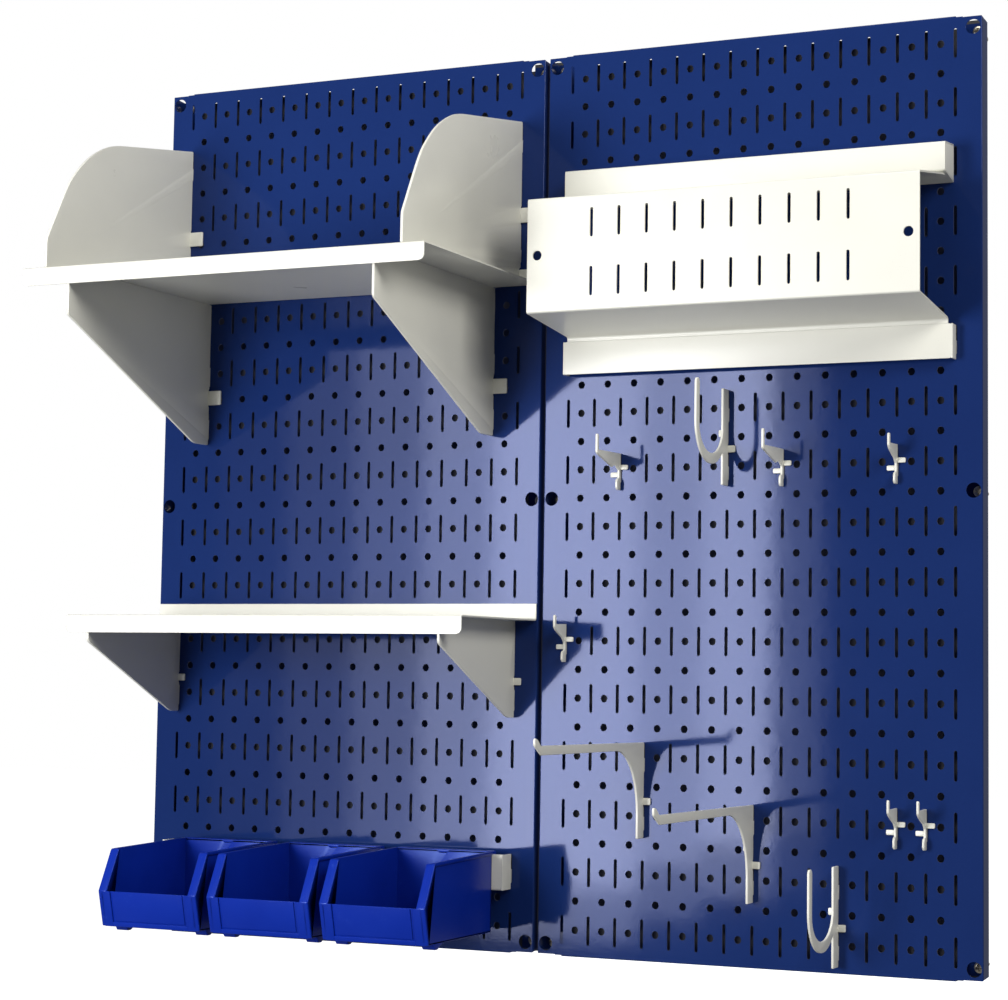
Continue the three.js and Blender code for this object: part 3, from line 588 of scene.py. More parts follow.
def tab_points(row, neck):
    """A tab's outline from its lower to its upper root, as (distance out from the panel, height)."""
    low = (row - 0.5) * STEP + TAB_GAP
    top, tip, back, nose = low + neck, low - TAB_DROP, -TAB_BACK, TAB_NOSE - TAB_BACK
    return [(0, low), (-TAB_BEHIND, low), (-TAB_BEHIND, tip), (nose, tip), (back, tip + TAB_NOSE),
            (back, top - TAB_NOSE), (nose, top), (0, top)]


def relief_points(z, height):
    """A shallow step in the rear edge beside a wing."""
    half = height / 2 + RELIEF_ROOM
    return [(0, z - half - RELIEF), (RELIEF, z - half), (RELIEF, z + half), (0, z + half + RELIEF)]


def hung_outline(front, rows, neck, reliefs=()):
    """front runs from the top of the rear edge round to its bottom; the tabs and reliefs of the rear
    edge follow upwards in order of height."""
    rear = [tab_points(row, neck) for row in rows] + [relief_points(*relief) for relief in reliefs]
    rear.sort(key=lambda group: group[0][1])
    outline = np.array([*front, *(point for group in rear for point in group)], float)
    return np.column_stack([PLATE_REAR - outline[:, 0], outline[:, 1]])


def wing(x, side, z, length, height, plate_sheet):
    """A flat rounded tongue on the panel's face, rooted in the plate."""
    root, tip = x + side * (plate_sheet / 2 - 0.5), x + side * (plate_sheet / 2 + length)
    low, high = z - height / 2, z + height / 2
    outline = rounded([(root, low), (tip, low), (tip, high), (root, high)],
                      [0.05, WING_CORNER, WING_CORNER, 0.05])
    return plate(outline, PLATE_REAR - WING_SHEET, PLATE_REAR, "y")

# %% [markdown]
# ## Hooks
#
# Four kinds of cut-plate hook: a long and a short one with an upturned tip, a cradle shaped like a
# deep U, and a long arm on a curved gusset. Each is one outline with tabs and two wings.

# %% Hook outlines
HOOK_SHEET = 2.0
LONG_REACH, SHORT_REACH, TIP = 52.07, 24.64, 3.3
CRADLE_REACH, CRADLE_BAR, CRADLE_SPINE = 77.47, 7.62, 13.2
ARM_REACH, ARM_SPINE, ARM_GUSSET, ARM_BAR = 224.79, 13.2, 60.96, 6.1


def foot(z):
    """The small foot below the tab of the long and short hooks, from front to rear."""
    return [(3, z(-0.06)), (3, z(-0.34)), (6.4, z(-0.38)), (7.6, z(-0.48)), (7.6, z(-0.66)),
            (5.8, z(-0.75)), (0, z(-0.75))]


def long_hook(z):
    """A straight finger with an upturned tip; its lower edge slopes back to the foot."""
    reach, tip = LONG_REACH, LONG_REACH - TIP
    return [(0, z(0.53)), (tip, z(0.5)), (tip, z(1)), (reach - 0.8, z(1.04)), (reach, z(1)),
            (reach, z(0.4)), (reach - 1.5, z(0.35)), (0.35 * reach, z(0)), (0.22 * reach, z(0.12)),
            *foot(z)]


def short_hook(z):
    """The same finger at half the reach."""
    reach, tip = SHORT_REACH, SHORT_REACH - TIP
    return [(0, z(0.58)), (tip, z(0.56)), (tip, z(0.85)), (reach - 0.8, z(0.88)), (reach, z(0.84)),
            (reach, z(0.46)), (0.86 * reach, z(0.34)), (0.55 * reach, z(0.2)), (0.3 * reach, z(0.1)),
            *foot(z)]


def hanging_arc(middle, half, z_mid, depth, steps=33):
    """Half an ellipse below z_mid, from its wall side to its front side."""
    angle = np.linspace(0, np.pi, steps)
    return np.column_stack([middle - half * np.cos(angle), z_mid - depth * np.sin(angle)])


def cradle_hook(z):
    """A deep U between the spine and an upright bar: two half ellipses, the outer one deeper."""
    reach, bar, spine = CRADLE_REACH, CRADLE_BAR, CRADLE_SPINE
    half = (reach - bar - spine) / 2
    middle = spine + half
    inner = hanging_arc(middle, half, z(1.2), 0.9 * STEP)
    outer = hanging_arc(middle, half + bar, z(1.3), 1.36 * STEP)
    outer = outer[outer[:, 0] > spine][::-1]
    tip = [(reach - bar, z(2.6)), (reach - 0.75 * bar, z(2.7)), (reach - 0.25 * bar, z(2.7)),
           (reach, z(2.6))]
    return [(0, z(2.62)), (spine, z(2.62)), *inner, *tip, *outer, (spine, z(0.2)), (spine, z(-0.69)),
            (0, z(-0.69))]


def arm_hook(z):
    """A long straight bar with a raised tip; a quarter ellipse makes the gusset under it."""
    reach, under = ARM_REACH, 2.28
    angle = np.linspace(0, np.pi / 2, 25)
    curve = np.column_stack([ARM_GUSSET - (ARM_GUSSET - ARM_SPINE) * np.sin(angle),
                             z(under - (under - 0.1) * (1 - np.cos(angle)))])
    return [(0, z(2.52)), (reach - 11, z(2.6)), (reach - 5, z(2.8)), (reach - 1, z(2.84)),
            (reach, z(2.78)), (reach - 0.4, z(2.6)), (reach - 13, z(2.3)),
            (reach - 18, z(2.54) - ARM_BAR), *curve, (ARM_SPINE, z(-0.74)), (0, z(-0.74))]

# %% Hooks in place
# A wing is (side, height in steps, length, height in mm); a kind is (outline, wings, tab rows, corner).
SMALL_WINGS = [(1, 0.045, 7.2, 4.3), (-1, -0.215, 7.2, 4.3)]
CRADLE_WINGS = [(1, 0.58, 6.6, 6.0), (-1, 1.12, 6.6, 6.0)]
ARM_WINGS = [(1, 0.51, 6.6, 6.0), (-1, 1.08, 6.6, 6.0)]
HOOK_KINDS = {
    "long": (long_hook, SMALL_WINGS, [0], 0.7),
    "short": (short_hook, SMALL_WINGS, [0], 0.7),
    "cradle": (cradle_hook, CRADLE_WINGS, [0, 2], 1.2),
    "arm": (arm_hook, ARM_WINGS, [0, 2], 1.0),
}
HOOK_PLACES = {
    "hook_long_left": ("long", 3, 17), "hook_long_right": ("long", 9, 17),
    "hook_short_top": ("short", 13, 17), "hook_short_seam": ("short", 1, 11),
    "hook_short_low_left": ("short", 13, 5), "hook_short_low_right": ("short", 14, 5),
    "hook_cradle_upper": ("cradle", 7, 17), "hook_cradle_lower": ("cradle", 11, 1),
    "hook_arm_left": ("arm", 4, 5), "hook_arm_right": ("arm", 8, 3),
}


def make_hook(node, kind, col, row):
    """Outline from the kind's function, tabs at its rows, wings at its heights."""
    shape, wings, tab_rows, corner = HOOK_KINDS[kind]
    z = lambda steps: (row + steps) * STEP
    reliefs = [(z(wings[0][1]), wings[0][3])] if len(tab_rows) > 1 else []
    outline = hung_outline(shape(z), [row + r for r in tab_rows], NECK, reliefs)
    x = col * STEP
    parts = [upright(outline, corner, x, HOOK_SHEET)]
    parts += [wing(x, side, z(at), length, height, HOOK_SHEET) for side, at, length, height in wings]
    return make_piece(f"plate_{node}", parts, "white_coat", node, node)


for node, (kind, col, row) in HOOK_PLACES.items():
    make_hook(node, kind, col, row)
print("hooks:", len(HOOK_PLACES))

# %% [markdown]
# ## Shelves
#
# A shelf is a tray of folded sheet on two tapered brackets. Its front edge is bent down into a lip and
# its rear edge up against the panel. Small slits along the front bend, a step apart, made the fold easy
# to start. The upper shelf also carries two dividers with rounded shoulders.

# %% Shelf sizes
TRAY_MIDDLE, TRAY_WIDTH, TRAY_SHEET = -8 * STEP, 15.75 * STEP, 1.2
TRAY_LIP, TRAY_UPSTAND, TRAY_BEND, LIP_CORNER = 16.0, 14.0, 1.9, 5.0
TRAY_GAP, FRONT_BEND, SLIT_HALF = 0.3, 9, (0.45, 1.8)
BRACKET_SHEET = 2.4
UPPER = {"top": 23.7 * STEP, "depth": 227.33, "front": 22 * STEP, "bottom": 18.3 * STEP, "foot": 23.6,
         "rows": [19, 21], "wing": (20.08 * STEP, 13.8, 13.6)}
LOWER = {"top": 11.74 * STEP, "depth": 148.59, "front": 10.8 * STEP, "bottom": 8.28 * STEP, "foot": 12.7,
         "rows": [9], "wing": (9.545 * STEP, 6.9, 6.4)}


def tray(name, node, body, shelf):
    """The bent line runs up the rear, along the deck and down the lip; it is punched sheet across x, and
    the lip's lower corners are drawn in on a quarter circle."""
    front, rear, top = PLATE_REAR - shelf["depth"], PLATE_REAR - TRAY_SHEET, shelf["top"]
    section = [(rear, top + TRAY_UPSTAND), (rear, top), (front, top), (front, top - TRAY_LIP)]
    line, length = bent_line(section, TRAY_BEND)
    tail = length[-1] - LIP_CORNER * np.linspace(1, 0, 7)[:-1]
    along = np.sort(np.concatenate([length, tail]))
    first = int(np.searchsorted(along, length[FRONT_BEND]))
    xs = TRAY_MIDDLE + np.linspace(-TRAY_WIDTH / 2, TRAY_WIDTH / 2, 127)
    across = np.arange(4, 120, 8)
    mid = (along[first] + along[first + 4]) / 2
    slits = {"middle": np.column_stack([np.full(len(across), mid), (xs[across] + xs[across + 2]) / 2]),
             "i": np.full(len(across), first), "j": across, "ni": 4, "nj": 2, "half": SLIT_HALF}
    flat, quads = punched(along, xs, [slits])
    y, z = (np.interp(flat[:, 0], length, line[:, k]) for k in (0, 1))
    drop = np.clip(top - TRAY_LIP + LIP_CORNER - z, 0, LIP_CORNER)
    inset = LIP_CORNER - np.sqrt(LIP_CORNER**2 - drop**2)
    x = flat[:, 1] - (flat[:, 1] - TRAY_MIDDLE) / (TRAY_WIDTH / 2) * inset
    return make_piece(name, [(np.column_stack([x, y, z]), [quads])], "white_coat", body, node, TRAY_SHEET)


def hung_plate(name, node, body, shape, rows, neck, radii, col, wing_at, steps=4):
    """A cut plate with tabs at its rows and one broad wing; the rear edge's corners are small."""
    outline = hung_outline(shape, rows, neck, [(wing_at[0], wing_at[2])])
    corners = radii + [0.5] * (len(outline) - len(radii))
    parts = [upright(outline, corners, col * STEP, BRACKET_SHEET, steps),
             wing(col * STEP, 1, *wing_at, BRACKET_SHEET)]
    return make_piece(name, parts, "white_coat", body, node)


def bracket(name, node, body, col, shelf):
    """A tapered plate under the tray, hung by tall tabs."""
    top, front = (shelf[key] - TRAY_SHEET - TRAY_GAP for key in ("top", "depth"))
    toe, low = shelf["foot"], shelf["bottom"]
    shape = [(0, top), (front, top), (front, shelf["front"]), (toe, low), (0, low)]
    return hung_plate(name, node, body, shape, shelf["rows"], TALL_NECK, [0.3, 2.5, 3.0, 5.0, 1.5], col,
                      shelf["wing"])

# %% Dividers
DIVIDER_DEPTH = 225.3
DIVIDER_WING = (26.22 * STEP, 13.8, 13.6)
SHOULDER = [(0, 29.65), (0.58, 28.8), (0.67, 28.45), (0.75, 28.0), (0.81, 27.5), (0.87, 26.9), (1, 24.7)]


def divider(name, node, col):
    """Stands on the tray, clear of its upstand; its top falls to the front in a rounded shoulder."""
    low, clear = UPPER["top"] + TRAY_GAP, TRAY_SHEET + 2
    shape = [*(np.array(SHOULDER) * (DIVIDER_DEPTH, STEP)), (DIVIDER_DEPTH, low), (clear, low),
             (clear, low + TRAY_UPSTAND), (0, low + TRAY_UPSTAND + 2)]
    return hung_plate(name, node, node.replace("shelf_", ""), shape, [25, 29], NECK,
                      [2.0, 16, 12, 10, 10, 16, 4, 1], col, DIVIDER_WING, steps=6)


tray("tray_upper", "shelf_upper_tray", "shelf_upper", UPPER)
tray("tray_lower", "shelf_lower_tray", "shelf_lower", LOWER)
for side, upper_col, lower_col in (("left", -14, -15), ("right", -2, -1)):
    bracket(f"bracket_upper_{side}", f"shelf_upper_bracket_{side}", "shelf_upper", upper_col, UPPER)
    bracket(f"bracket_lower_{side}", f"shelf_lower_bracket_{side}", "shelf_lower", lower_col, LOWER)
    divider(f"divider_plate_{side}", f"shelf_divider_{side}", lower_col)

# %% [markdown]
# ## Tool holder
#
# A slotted front plate stands a hand's breadth off the panel. It is one folded sheet: a sloping top
# under the rail, the front, a pan, and a flange that drops behind it. The front is punched with two
# rows of slots and a round hole at each end. The rail above is a shallow channel with closed ends.

# %% Tool holder front
HOLDER_MIDDLE, HOLDER_HALF, HOLDER_SHEET, HOLDER_BEND = 8 * STEP, 6.87, 1.5, 2.2
HOLDER_FRONT, HOLDER_LOW, HOLDER_HIGH = FACE - 98.04, 22 * STEP, 25.92 * STEP
HOLDER_SLOT, SLOT_BLOCK = (12.7, 1.5), 0.72
SLOT_COLUMNS, SLOT_ROWS = np.arange(10) - 4.5, np.array([25, 23])
END_HOLE, END_HOLE_Z, END_HOLES = (4.3, 4.3), 23.97, np.array([-6.5, 6.5])
FLANGE_Y, FLANGE_LOW, FLANGE_HALF = PLATE_REAR - 11.43, 20.33 * STEP, 7 * STEP
PAN_REAR, WELD_DROP = HOLDER_LOW - 9, 4.0
RAIL_DEPTH, RAIL_LOW, RAIL_HIGH, RAIL_TAPER = 27.94, 26.27 * STEP, 27.56 * STEP, (3, 5)
RAIL_FRONT = PLATE_REAR - RAIL_DEPTH
NEAR = 1e-3


def holder_sheet():
    """Bent line: weld lip under the rail, top, front, pan, flange. The grid has a line at each edge of a
    hole's block, so a block is found by the height and the column of its first edge."""
    under, slope = RAIL_LOW + RAIL_TAPER[1], RAIL_TAPER[1] / RAIL_DEPTH
    section = [(RAIL_FRONT + 6, under - 0.3 - 6 * slope), (RAIL_FRONT - 2, under - 2.3),
               (HOLDER_FRONT, HOLDER_HIGH), (HOLDER_FRONT, HOLDER_LOW), (FLANGE_Y, PAN_REAR),
               (FLANGE_Y, PAN_REAR - WELD_DROP)]
    line, length = bent_line(section, HOLDER_BEND)
    on_front = np.isclose(line[:, 0], HOLDER_FRONT, atol=1e-6)
    at_height = lambda steps: length[on_front][0] + line[on_front][0, 1] - steps * STEP
    cuts = at_height(SLOT_ROWS[:, None] + np.linspace(SLOT_BLOCK, -SLOT_BLOCK, 9)).ravel()
    hole_cuts = at_height(END_HOLE_Z + np.array([0.125, 0, -0.125]))
    along = np.unique(np.concatenate([length, cuts, hole_cuts]).round(4))
    columns = [(SLOT_COLUMNS[:, None] + np.linspace(-0.25, 0.25, 5)).ravel(),
               (END_HOLES[:, None] + np.linspace(-0.3, 0.3, 7)).ravel(), [-HOLDER_HALF, HOLDER_HALF]]
    xs = HOLDER_MIDDLE + STEP * np.unique(np.concatenate(columns).round(6))
    row_from = lambda steps: np.searchsorted(along, at_height(steps) - NEAR)
    column_from = lambda steps: np.searchsorted(xs, HOLDER_MIDDLE + steps * STEP - NEAR)
    middle = lambda col, row: np.column_stack([at_height(row), HOLDER_MIDDLE + col * STEP])
    col, row = (a.ravel() for a in np.meshgrid(SLOT_COLUMNS, SLOT_ROWS))
    slots = {"middle": middle(col, row), "i": row_from(row + SLOT_BLOCK), "j": column_from(col - 0.25),
             "ni": 8, "nj": 4, "half": HOLDER_SLOT}
    first, last = row_from(np.array([24.28, 23.72]))
    holes = {"middle": middle(END_HOLES, np.full(2, END_HOLE_Z)), "i": np.full(2, first),
             "j": column_from(END_HOLES - 0.3), "ni": int(last - first), "nj": 6, "half": END_HOLE}
    flat, quads = punched(along, xs, [slots, holes])
    y, z = (np.interp(flat[:, 0], length, line[:, k]) for k in (0, 1))
    return np.column_stack([flat[:, 1], y, z]), [quads]


make_piece("holder_front", [holder_sheet()], "white_coat", "tool_holder", "tool_holder_tray",
           HOLDER_SHEET)

# %% Tool holder: flange, ends and rail
HOLDER_RAIL = {"middle": 8.1 * STEP, "half": 6.85 * STEP, "ribs": (2, 14), "row": 27}
CHANNEL_BEND = 1.8


def cheeks(out, low, high, row, corner, sheet, places):
    """Square end plates, each hung by one tab."""
    outline = hung_outline([(0, high), (out, high), (out, low), (0, low)], [row], NECK)
    return [upright(outline, corner, x, sheet) for x in places]


def holder_flange():
    """The flange behind the pan, a little longer than the tray, with a cheek at each end."""
    high, low = PAN_REAR - WELD_DROP - 0.05, FLANGE_LOW
    left, right = HOLDER_MIDDLE - FLANGE_HALF, HOLDER_MIDDLE + FLANGE_HALF
    board = rounded([(left, low), (right, low), (right, high), (left, high)], 2.5)
    return [plate(board, FLANGE_Y, FLANGE_Y + HOLDER_SHEET, "y"),
            *cheeks(PLATE_REAR - FLANGE_Y, low, high, 21, 0.6, HOLDER_SHEET, (left, right))]


def channel(section, middle, half, sheet):
    """A folded strip: a bent line and the same line moved over by the sheet's thickness make a closed
    section, which is carried from one end to the other."""
    line, _ = bent_line(section, CHANNEL_BEND)
    step = np.gradient(line, axis=0)
    normal = np.stack([-step[:, 1], step[:, 0]], -1)
    normal /= np.linalg.norm(normal, axis=1, keepdims=True)
    closed = np.vstack([line, (line + sheet * normal)[::-1]])
    return plate(closed, middle - half, middle + half, edge=0.3)


def holder_rail():
    """A shallow channel open to the panel, closed at both ends, with a tabbed rib near each end."""
    (taper_top, taper_low), spot = RAIL_TAPER, HOLDER_RAIL
    section = [(PLATE_REAR, RAIL_HIGH), (RAIL_FRONT, RAIL_HIGH - taper_top),
               (RAIL_FRONT, RAIL_LOW + taper_low), (PLATE_REAR, RAIL_LOW)]
    inside = [(0, RAIL_HIGH - 0.4), (RAIL_DEPTH - 0.6, RAIL_HIGH - taper_top - 0.6),
              (RAIL_DEPTH - 0.6, RAIL_LOW + taper_low + 0.6), (0, RAIL_LOW + 0.4)]
    rib = hung_outline(inside, [spot["row"]], NECK)
    cap = np.array([(PLATE_REAR - out, z) for out, z in inside])
    ends = [spot["middle"] + side * (spot["half"] - HOLDER_SHEET / 2) for side in (-1, 1)]
    return [channel(section, spot["middle"], spot["half"], HOLDER_SHEET),
            *(upright(rib, 0.6, col * STEP, HOLDER_SHEET) for col in spot["ribs"]),
            *(upright(cap, 0.6, x, HOLDER_SHEET) for x in ends)]


make_piece("holder_flange", holder_flange(), "white_coat", "tool_holder", "tool_holder_tray")
make_piece("holder_rail_channel", holder_rail(), "white_coat", "tool_holder", "tool_holder_rail")

# %% [markdown]
# ## Bin rail
#
# The bins hang on a shallow channel that stands off the panel. Its flanges turn back at the top and
# bottom, and a cheek at each end carries a tab into the slots.

# %% Bin rail
BIN_RAIL = {"middle": -8 * STEP, "half": 7 * STEP, "low": 2.29 * STEP, "high": 3.52 * STEP, "row": 3}
RAIL_STAND, RAIL_SHEET, RAIL_FLANGE = 18.0, 1.5, 6.0


def bin_rail():
    """The channel's section is a bent line in depth and height."""
    front, low, high = FACE - RAIL_STAND, BIN_RAIL["low"], BIN_RAIL["high"]
    middle, half, row = BIN_RAIL["middle"], BIN_RAIL["half"], BIN_RAIL["row"]
    section = [(front + RAIL_FLANGE, high), (front, high), (front, low), (front + RAIL_FLANGE, low)]
    return [channel(section, middle, half, RAIL_SHEET),
            *cheeks(PLATE_REAR - front, low, high, row, 0.8, RAIL_SHEET, (middle - half, middle + half))]


make_piece("bin_rail_channel", bin_rail(), "white_coat", "bin_rail", "bin_rail")

# %% [markdown]
# ## Bins
#
# A bin is moulded in one piece: thin walls, a low leaning front with a recessed label field between two
# grooves, flanges that stiffen both sides of the mouth, a thickened rim, two feet and a lip behind the
# rear wall that hangs on the rail. Each wall is its outline carried across its thickness.

# %% Bin sizes
BIN_PITCH = 0.317 * 14 * STEP
BIN_WIDTH = BIN_PITCH - 11
BIN_MIDDLE = -7.7 * STEP
BIN_OUT, BIN_TALL, BIN_LEAN, BIN_LOW_FRONT = 132.0, 71.0, 8.0, 31.5
BIN_MOUTH, BIN_SLOPE_TOP, BIN_WALL = 17.5, 68.0, 2.0
BIN_OVERHANG, MOUTH_FLANGE = 3.0, 8.5
BIN_REAR = FACE - RAIL_STAND - 0.3
BIN_FLOOR = BIN_RAIL["high"] + 3 - BIN_TALL
BIN_BASE, MOUTH, LIP_LOW = BIN_OUT - BIN_LEAN, BIN_OUT - BIN_MOUTH, BIN_RAIL["high"] + 0.3 - BIN_FLOOR


def leaning(low, high, out=0.0, thick=BIN_WALL):
    """The section of a board that leans with the front wall, from height low to high."""
    near, far = (BIN_BASE + BIN_LEAN * z / BIN_LOW_FRONT + out for z in (low, high))
    return [(near - thick, low), (near, low), (far, high), (far - thick, high)]

# %% Bin shape
# Section, inset from both sides, corner, edge: the floor, front wall, lower frame, label and lip.
BIN_BOARDS = [
    ([(0, 0), (BIN_BASE, 0), (BIN_BASE, BIN_WALL), (0, BIN_WALL)], 0, 0.6, 0.5),
    (leaning(0, BIN_LOW_FRONT, -1.4, BIN_WALL - 1.1), 0, 0.3, 0.3),
    (leaning(0.2, 4.2), 8.8, 0.5, 0.4),
    (leaning(5.2, BIN_LOW_FRONT - 0.3, -0.5, BIN_WALL - 0.6), 11.4, 0.4, 0.5),
    ([(BIN_WALL, LIP_LOW), (-6.6, LIP_LOW), (-6.6, LIP_LOW - 5), (-8.6, LIP_LOW - 5), (-8.6, BIN_TALL),
      (BIN_WALL, BIN_TALL)], 0, 0.8, 0.6),
]
# Section, outer and inner place from the side, corner, edge: the wall, flange, rim, foot and frame.
BIN_SIDES = [
    ([(0, 0), (BIN_BASE, 0), (BIN_OUT, BIN_LOW_FRONT), (MOUTH, BIN_SLOPE_TOP), (0, BIN_TALL)],
     0, -BIN_WALL, [1, 3, 1.5, 4, 2], 0.6),
    ([(BIN_BASE, 0.3), (BIN_OUT, BIN_LOW_FRONT), (MOUTH, BIN_SLOPE_TOP - 0.3),
      (MOUTH - 2.6, BIN_SLOPE_TOP - 0.3), (BIN_OUT - 2.6, BIN_LOW_FRONT), (BIN_BASE - 2.6, 0.3)],
     BIN_OVERHANG, BIN_OVERHANG - MOUTH_FLANGE, [0.8, 0.8, 2.5, 0.8, 0.6, 0.8], 1.0),
    ([(1, BIN_TALL - 3.2), (MOUTH - 1, BIN_SLOPE_TOP - 3.2), (MOUTH - 1, BIN_SLOPE_TOP), (1, BIN_TALL)],
     1.6, 0.3 - BIN_WALL, 0.9, 0.8),
    ([(BIN_BASE - 14, 1), (BIN_BASE - 18, -5), (BIN_BASE - 23, -5), (BIN_BASE - 34, 1)],
     0, -12, 1.0, 0.6),
    (leaning(0.2, BIN_LOW_FRONT), 0, -9, 0.5, 0.6),
]


def board(section, corner, x, start, end, edge):
    """A wall whose section is (distance out from the rear wall, height above the floor)."""
    outline = [(BIN_REAR - out, BIN_FLOOR + z) for out, z in section]
    return plate(rounded(outline, corner), x + min(start, end), x + max(start, end), edge=edge)


def bin_parts(x):
    """The rear wall with its notch, then the boards that run across and those on both sides."""
    half, top = BIN_WIDTH / 2 - BIN_OVERHANG, BIN_FLOOR + BIN_TALL
    rear = [(x - half, BIN_FLOOR), (x + half, BIN_FLOOR), (x + half, top), (x + 6, top), (x + 4, top - 3),
            (x - 4, top - 3), (x - 6, top), (x - half, top)]
    return [plate(rounded(rear, 1.0), BIN_REAR - BIN_WALL, BIN_REAR, "y", edge=0.4),
            *(board(section, corner, x, inset - half, half - inset, edge)
              for section, inset, corner, edge in BIN_BOARDS),
            *(board(section, corner, x, sign * (half + outer), sign * (half + inner), edge)
              for sign in (-1, 1) for section, outer, inner, corner, edge in BIN_SIDES)]


for index, place in enumerate(("left", "middle", "right")):
    make_piece(f"parts_bin_{place}", bin_parts(BIN_MIDDLE + (index - 1) * BIN_PITCH), "bin_blue",
               f"bin_{place}", f"bin_{place}")
print("bins: 3, each", round(BIN_WIDTH, 1), "mm wide at the mouth")

# %% [markdown]
# ## Wall screws
#
# Twelve pan-head screws hold the return lips to the wall. A screw is turned: its profile is spun about
# its axis. The cross recess is sunk by pulling the points of the head's top in along two crossed bars,
# and the thread is a sine that climbs the shank by one pitch a turn.

# %% Screws
SCREW_HEAD, SCREW_TALL, SCREW_SHANK, SCREW_LONG = 4.8, 2.6, 1.75, 32.0
THREAD_DEPTH, THREAD_PITCH = 0.35, 2.4
CROSS_REACH, CROSS_HALF, CROSS_DEEP = 2.6, 0.55, 1.3
HEAD_REST = -SHEET - 0.3


def screw(x, z):
    """Rings of the spun profile from the head's middle to the point: (radius, distance into the wall)."""
    turn = np.linspace(0, 2 * np.pi, 33)[:-1]
    arc = np.linspace(0.0, 1, 15) * np.pi / 2
    dome = np.column_stack([SCREW_HEAD * np.sin(arc), -SCREW_TALL * np.cos(arc) ** 0.6])
    along = np.linspace(0.4, SCREW_LONG - 0.2, 150)
    taper = np.clip((SCREW_LONG - along) / 7, 0.02, 1)
    profile = np.vstack([dome, [(SCREW_HEAD, 0), (SCREW_SHANK + 0.2, 0)],
                         np.column_stack([SCREW_SHANK * taper, along])])
    radius, depth = profile[:, :1], profile[:, 1:]
    on_shank = (depth > 0.3) * np.clip((depth - 4) / 3, 0, 1) * (radius > 0.3)
    radius = radius + THREAD_DEPTH * on_shank * np.sin(2 * np.pi * depth / THREAD_PITCH - turn)
    across, up = radius * np.cos(turn), radius * np.sin(turn)
    arm = np.maximum(np.abs(across), np.abs(up)) < CROSS_REACH
    bar = np.minimum(np.abs(across), np.abs(up)) < CROSS_HALF
    depth = depth + CROSS_DEEP * ((depth < -0.5) & arm & bar)
    rings, sides = across.shape
    faces = [grid_faces(rings, sides, wrap=True), np.arange(sides) + (rings - 1) * sides]
    return [(points_of(x + across, HEAD_REST + depth, z + up), faces)]


screws = sorted(name for name in frame["nodes"] if name.startswith("screw_"))
for solid in screws:
    middle = sum(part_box(solid), start=Vector()) / 2 / MM
    make_piece(f"turned_{solid}", screw(middle.x, middle.z), "zinc", "board", solid)
print("screws:", len(screws))

# %% [markdown]
# ## The surroundings
#
# The world looks white to the camera and stays dim for everything else, so a white background doesn't
# wash out the shadows. The Light Path node tells the two apart.

# %% World
WHITE_LOOK, AMBIENT = 1.0, 0.20
world = bpy.data.worlds.new("studio")
bpy.context.scene.world = world
world.use_nodes = True
sky = world.node_tree
path = sky.nodes.new("ShaderNodeLightPath")
level = Wire(sky, path.outputs["Is Camera Ray"]) * (WHITE_LOOK - AMBIENT) + AMBIENT
plug(sky, sky.nodes["Background"].inputs["Strength"], level)
plug(sky, sky.nodes["Background"].inputs["Color"], (1, 1, 1, 1))
bpy.context.scene.view_settings.view_transform = "Standard"

# %% [markdown]
# ## Softboxes
#
# The key light is a tall softbox in front and to the left. The glossy panels mirror it, which makes the
# pale sheen, and every hung piece leaves its dark mirror image there. It is built from upright bands of
# unequal brightness, each with a dimmer foot, because the sheen has bands and fades downwards. Three
# plain boxes light the rear, the top and the right-hand side.

# %% Softboxes
KEY_MIDDLE, KEY_AIM = np.array((-0.706, -1.90, 0.0)), np.array((-0.25, 0, 0))
KEY_TOP, KEY_GLOW = 0.8645, 66.4
KEY_EDGES = (-0.7515, -0.6255, -0.4995, -0.3735, -0.2475, 0.018, 0.127, 0.250, 0.335)
KEY_SHARES = (0.02, 0.09, 0.24, 0.54, 1.0, 0.70, 0.94, 0.15)
KEY_LOWS = (-0.10, -0.10, -0.10, -0.10, -0.12, -0.08, -0.04, -0.02)
FOOT_TALL, FOOT_SHARE, FOOT_FROM = 0.09, 0.42, 0.1


def softbox(name, place, aim, size, power, colour=(1, 1, 1)):
    """An area light at `place` turned so that its face looks at `aim`."""
    data = bpy.data.lights.new(name, "AREA")
    data.shape, data.size, data.size_y = "RECTANGLE", *size
    data.energy, data.color = power, colour
    light = bpy.data.objects.new(name, data)
    away = np.array(place) - np.array(aim)
    away /= np.linalg.norm(away)
    right = np.cross([0, 0, 1], away)
    right /= np.linalg.norm(right)
    light.matrix_world = standing(right, np.cross(away, right), away, place)
    bpy.context.scene.collection.objects.link(light)
    return light


def key_band(name, left, right, low, high, share):
    """One upright band: its edges along the key's width, its lower and upper end, and its brightness."""
    along = (KEY_AIM - KEY_MIDDLE)[[1, 0, 2]] * [1, -1, 0]
    shift = along / np.linalg.norm(along) * (left + right) / 2 + [0, 0, (low + high) / 2]
    size = (right - left, high - low)
    softbox(name, KEY_MIDDLE + shift, KEY_AIM + shift, size, KEY_GLOW * share * size[0] * size[1])


for index, (share, low) in enumerate(zip(KEY_SHARES, KEY_LOWS)):
    edges = KEY_EDGES[index:index + 2]
    key_band(f"key_band_{index}", *edges, low, KEY_TOP, share)
    if share > FOOT_FROM:
        key_band(f"key_fade_{index}", *edges, low - FOOT_TALL, low, share * FOOT_SHARE)
softbox("rear_softbox", (-0.5, 2.4, 1.3), (0, 0, 0.4), (1.2, 1.2), 26).visible_glossy = False
softbox("top_softbox", (0.1, -0.9, 2.3), (-0.1, -0.1, 0.6), (1.0, 0.6), 12)
softbox("fill_softbox", (1.7, -1.2, 1.5), (0, 0, 0.45), (0.9, 0.9), 27, (1, 0.98, 0.92))
print("lights:", len(bpy.data.lights))

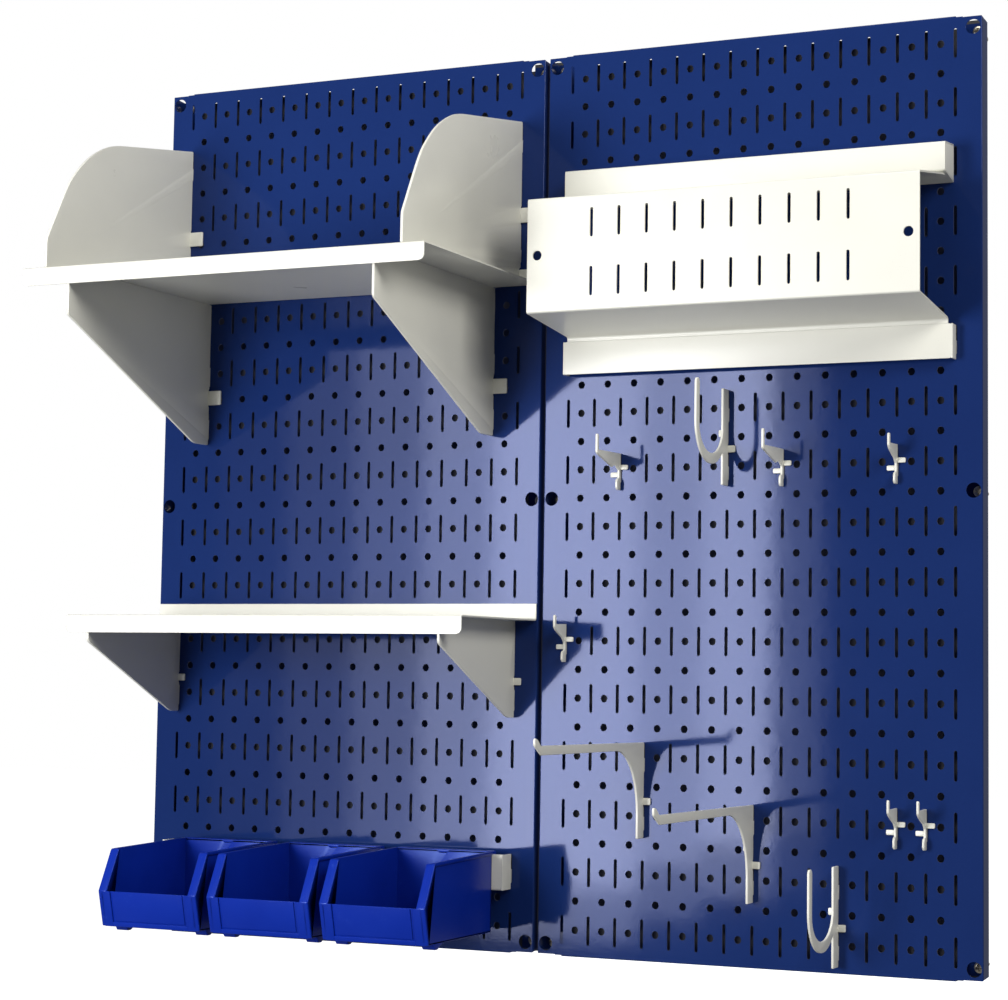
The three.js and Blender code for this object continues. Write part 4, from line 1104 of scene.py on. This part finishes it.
# %% [markdown]
# ## Floor
#
# A plain pale floor lies below the wall. It glows faintly, so it looks even, and it lights nothing.

# %% Floor
FLOOR_Z, FLOOR_HALF = -320.0, 9000.0


def unseen_by_light(stage):
    """Only the camera and shadow rays meet it, and it doesn't belong to the object."""
    stage.visible_diffuse = stage.visible_glossy = False
    return stage


paint = Finish("pale_floor", Roughness=0.9, Emission_Strength=0.9)
paint.set(Base_Color=paint.mix(paint.noise(300), (0.80, 0.80, 0.80, 1), (0.83, 0.83, 0.83, 1)),
          Emission_Color=(1, 1, 1, 1))
corners = np.array([(-1, -1, 0), (1, -1, 0), (1, 1, 0), (-1, 1, 0)]) * FLOOR_HALF + (0, 0, FLOOR_Z)
unseen_by_light(linked("floor", corners, [(0, 1, 2, 3)], paint.material))
print("floor at", FLOOR_Z, "mm")

# %% [markdown]
# ## The wall behind
#
# The panels are screwed to a wall, which is what shows through the holes. A patch of it stands behind
# them, seen only from the room, so that the panels' rear can still be looked at. Its near-black colour
# is painted shade: it stands for the shade behind the panels that the holes show. Three tabs along its
# upper edge reach behind the access holes at the corners and put the same painted shade there.

# %% Wall patch
WALL_GAP, TAB_WIDE = 0.6, 20
REACH, LOW, HIGH, OVER = PANEL_WIDTH - 5, 3.0, PANEL_HEIGHT - 8, PANEL_HEIGHT - 2.0

# Near-black base colour: painted shade for the shade behind the panels, seen through the holes.
painted_shade_finish = Finish("wall_plaster", Roughness=0.95)
painted_shade_finish.set(Base_Color=painted_shade_finish.mix(painted_shade_finish.noise(12), (0.05, 0.05, 0.055, 1), (0.07, 0.07, 0.075, 1)),
            Alpha=1 - painted_shade_finish.node("ShaderNodeNewGeometry", output="Backfacing"))
patches = np.array([(-REACH, REACH, LOW, HIGH), (-REACH, TAB_WIDE - REACH, HIGH, OVER),
                    (-22, 22, HIGH, OVER), (REACH - TAB_WIDE, REACH, HIGH, OVER)])
corners = points_of(patches[:, [0, 1, 1, 0]], WALL_GAP, patches[:, [2, 2, 3, 3]])
wall = linked("wall_patch", corners, np.arange(16).reshape(4, 4).tolist(), painted_shade_finish.material)
unseen_by_light(wall).visible_shadow = False
print("wall patch:", len(wall.data.polygons), "faces")

# %% [markdown]
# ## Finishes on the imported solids
#
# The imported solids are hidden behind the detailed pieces, and they get the same finishes by the slot
# named in the record.

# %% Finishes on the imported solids
for row in frame["record"]["subparts"]:
    for place in frame["nodes"][row["node"]].material_slots:
        place.material = FINISHES[row["material_slot"]]
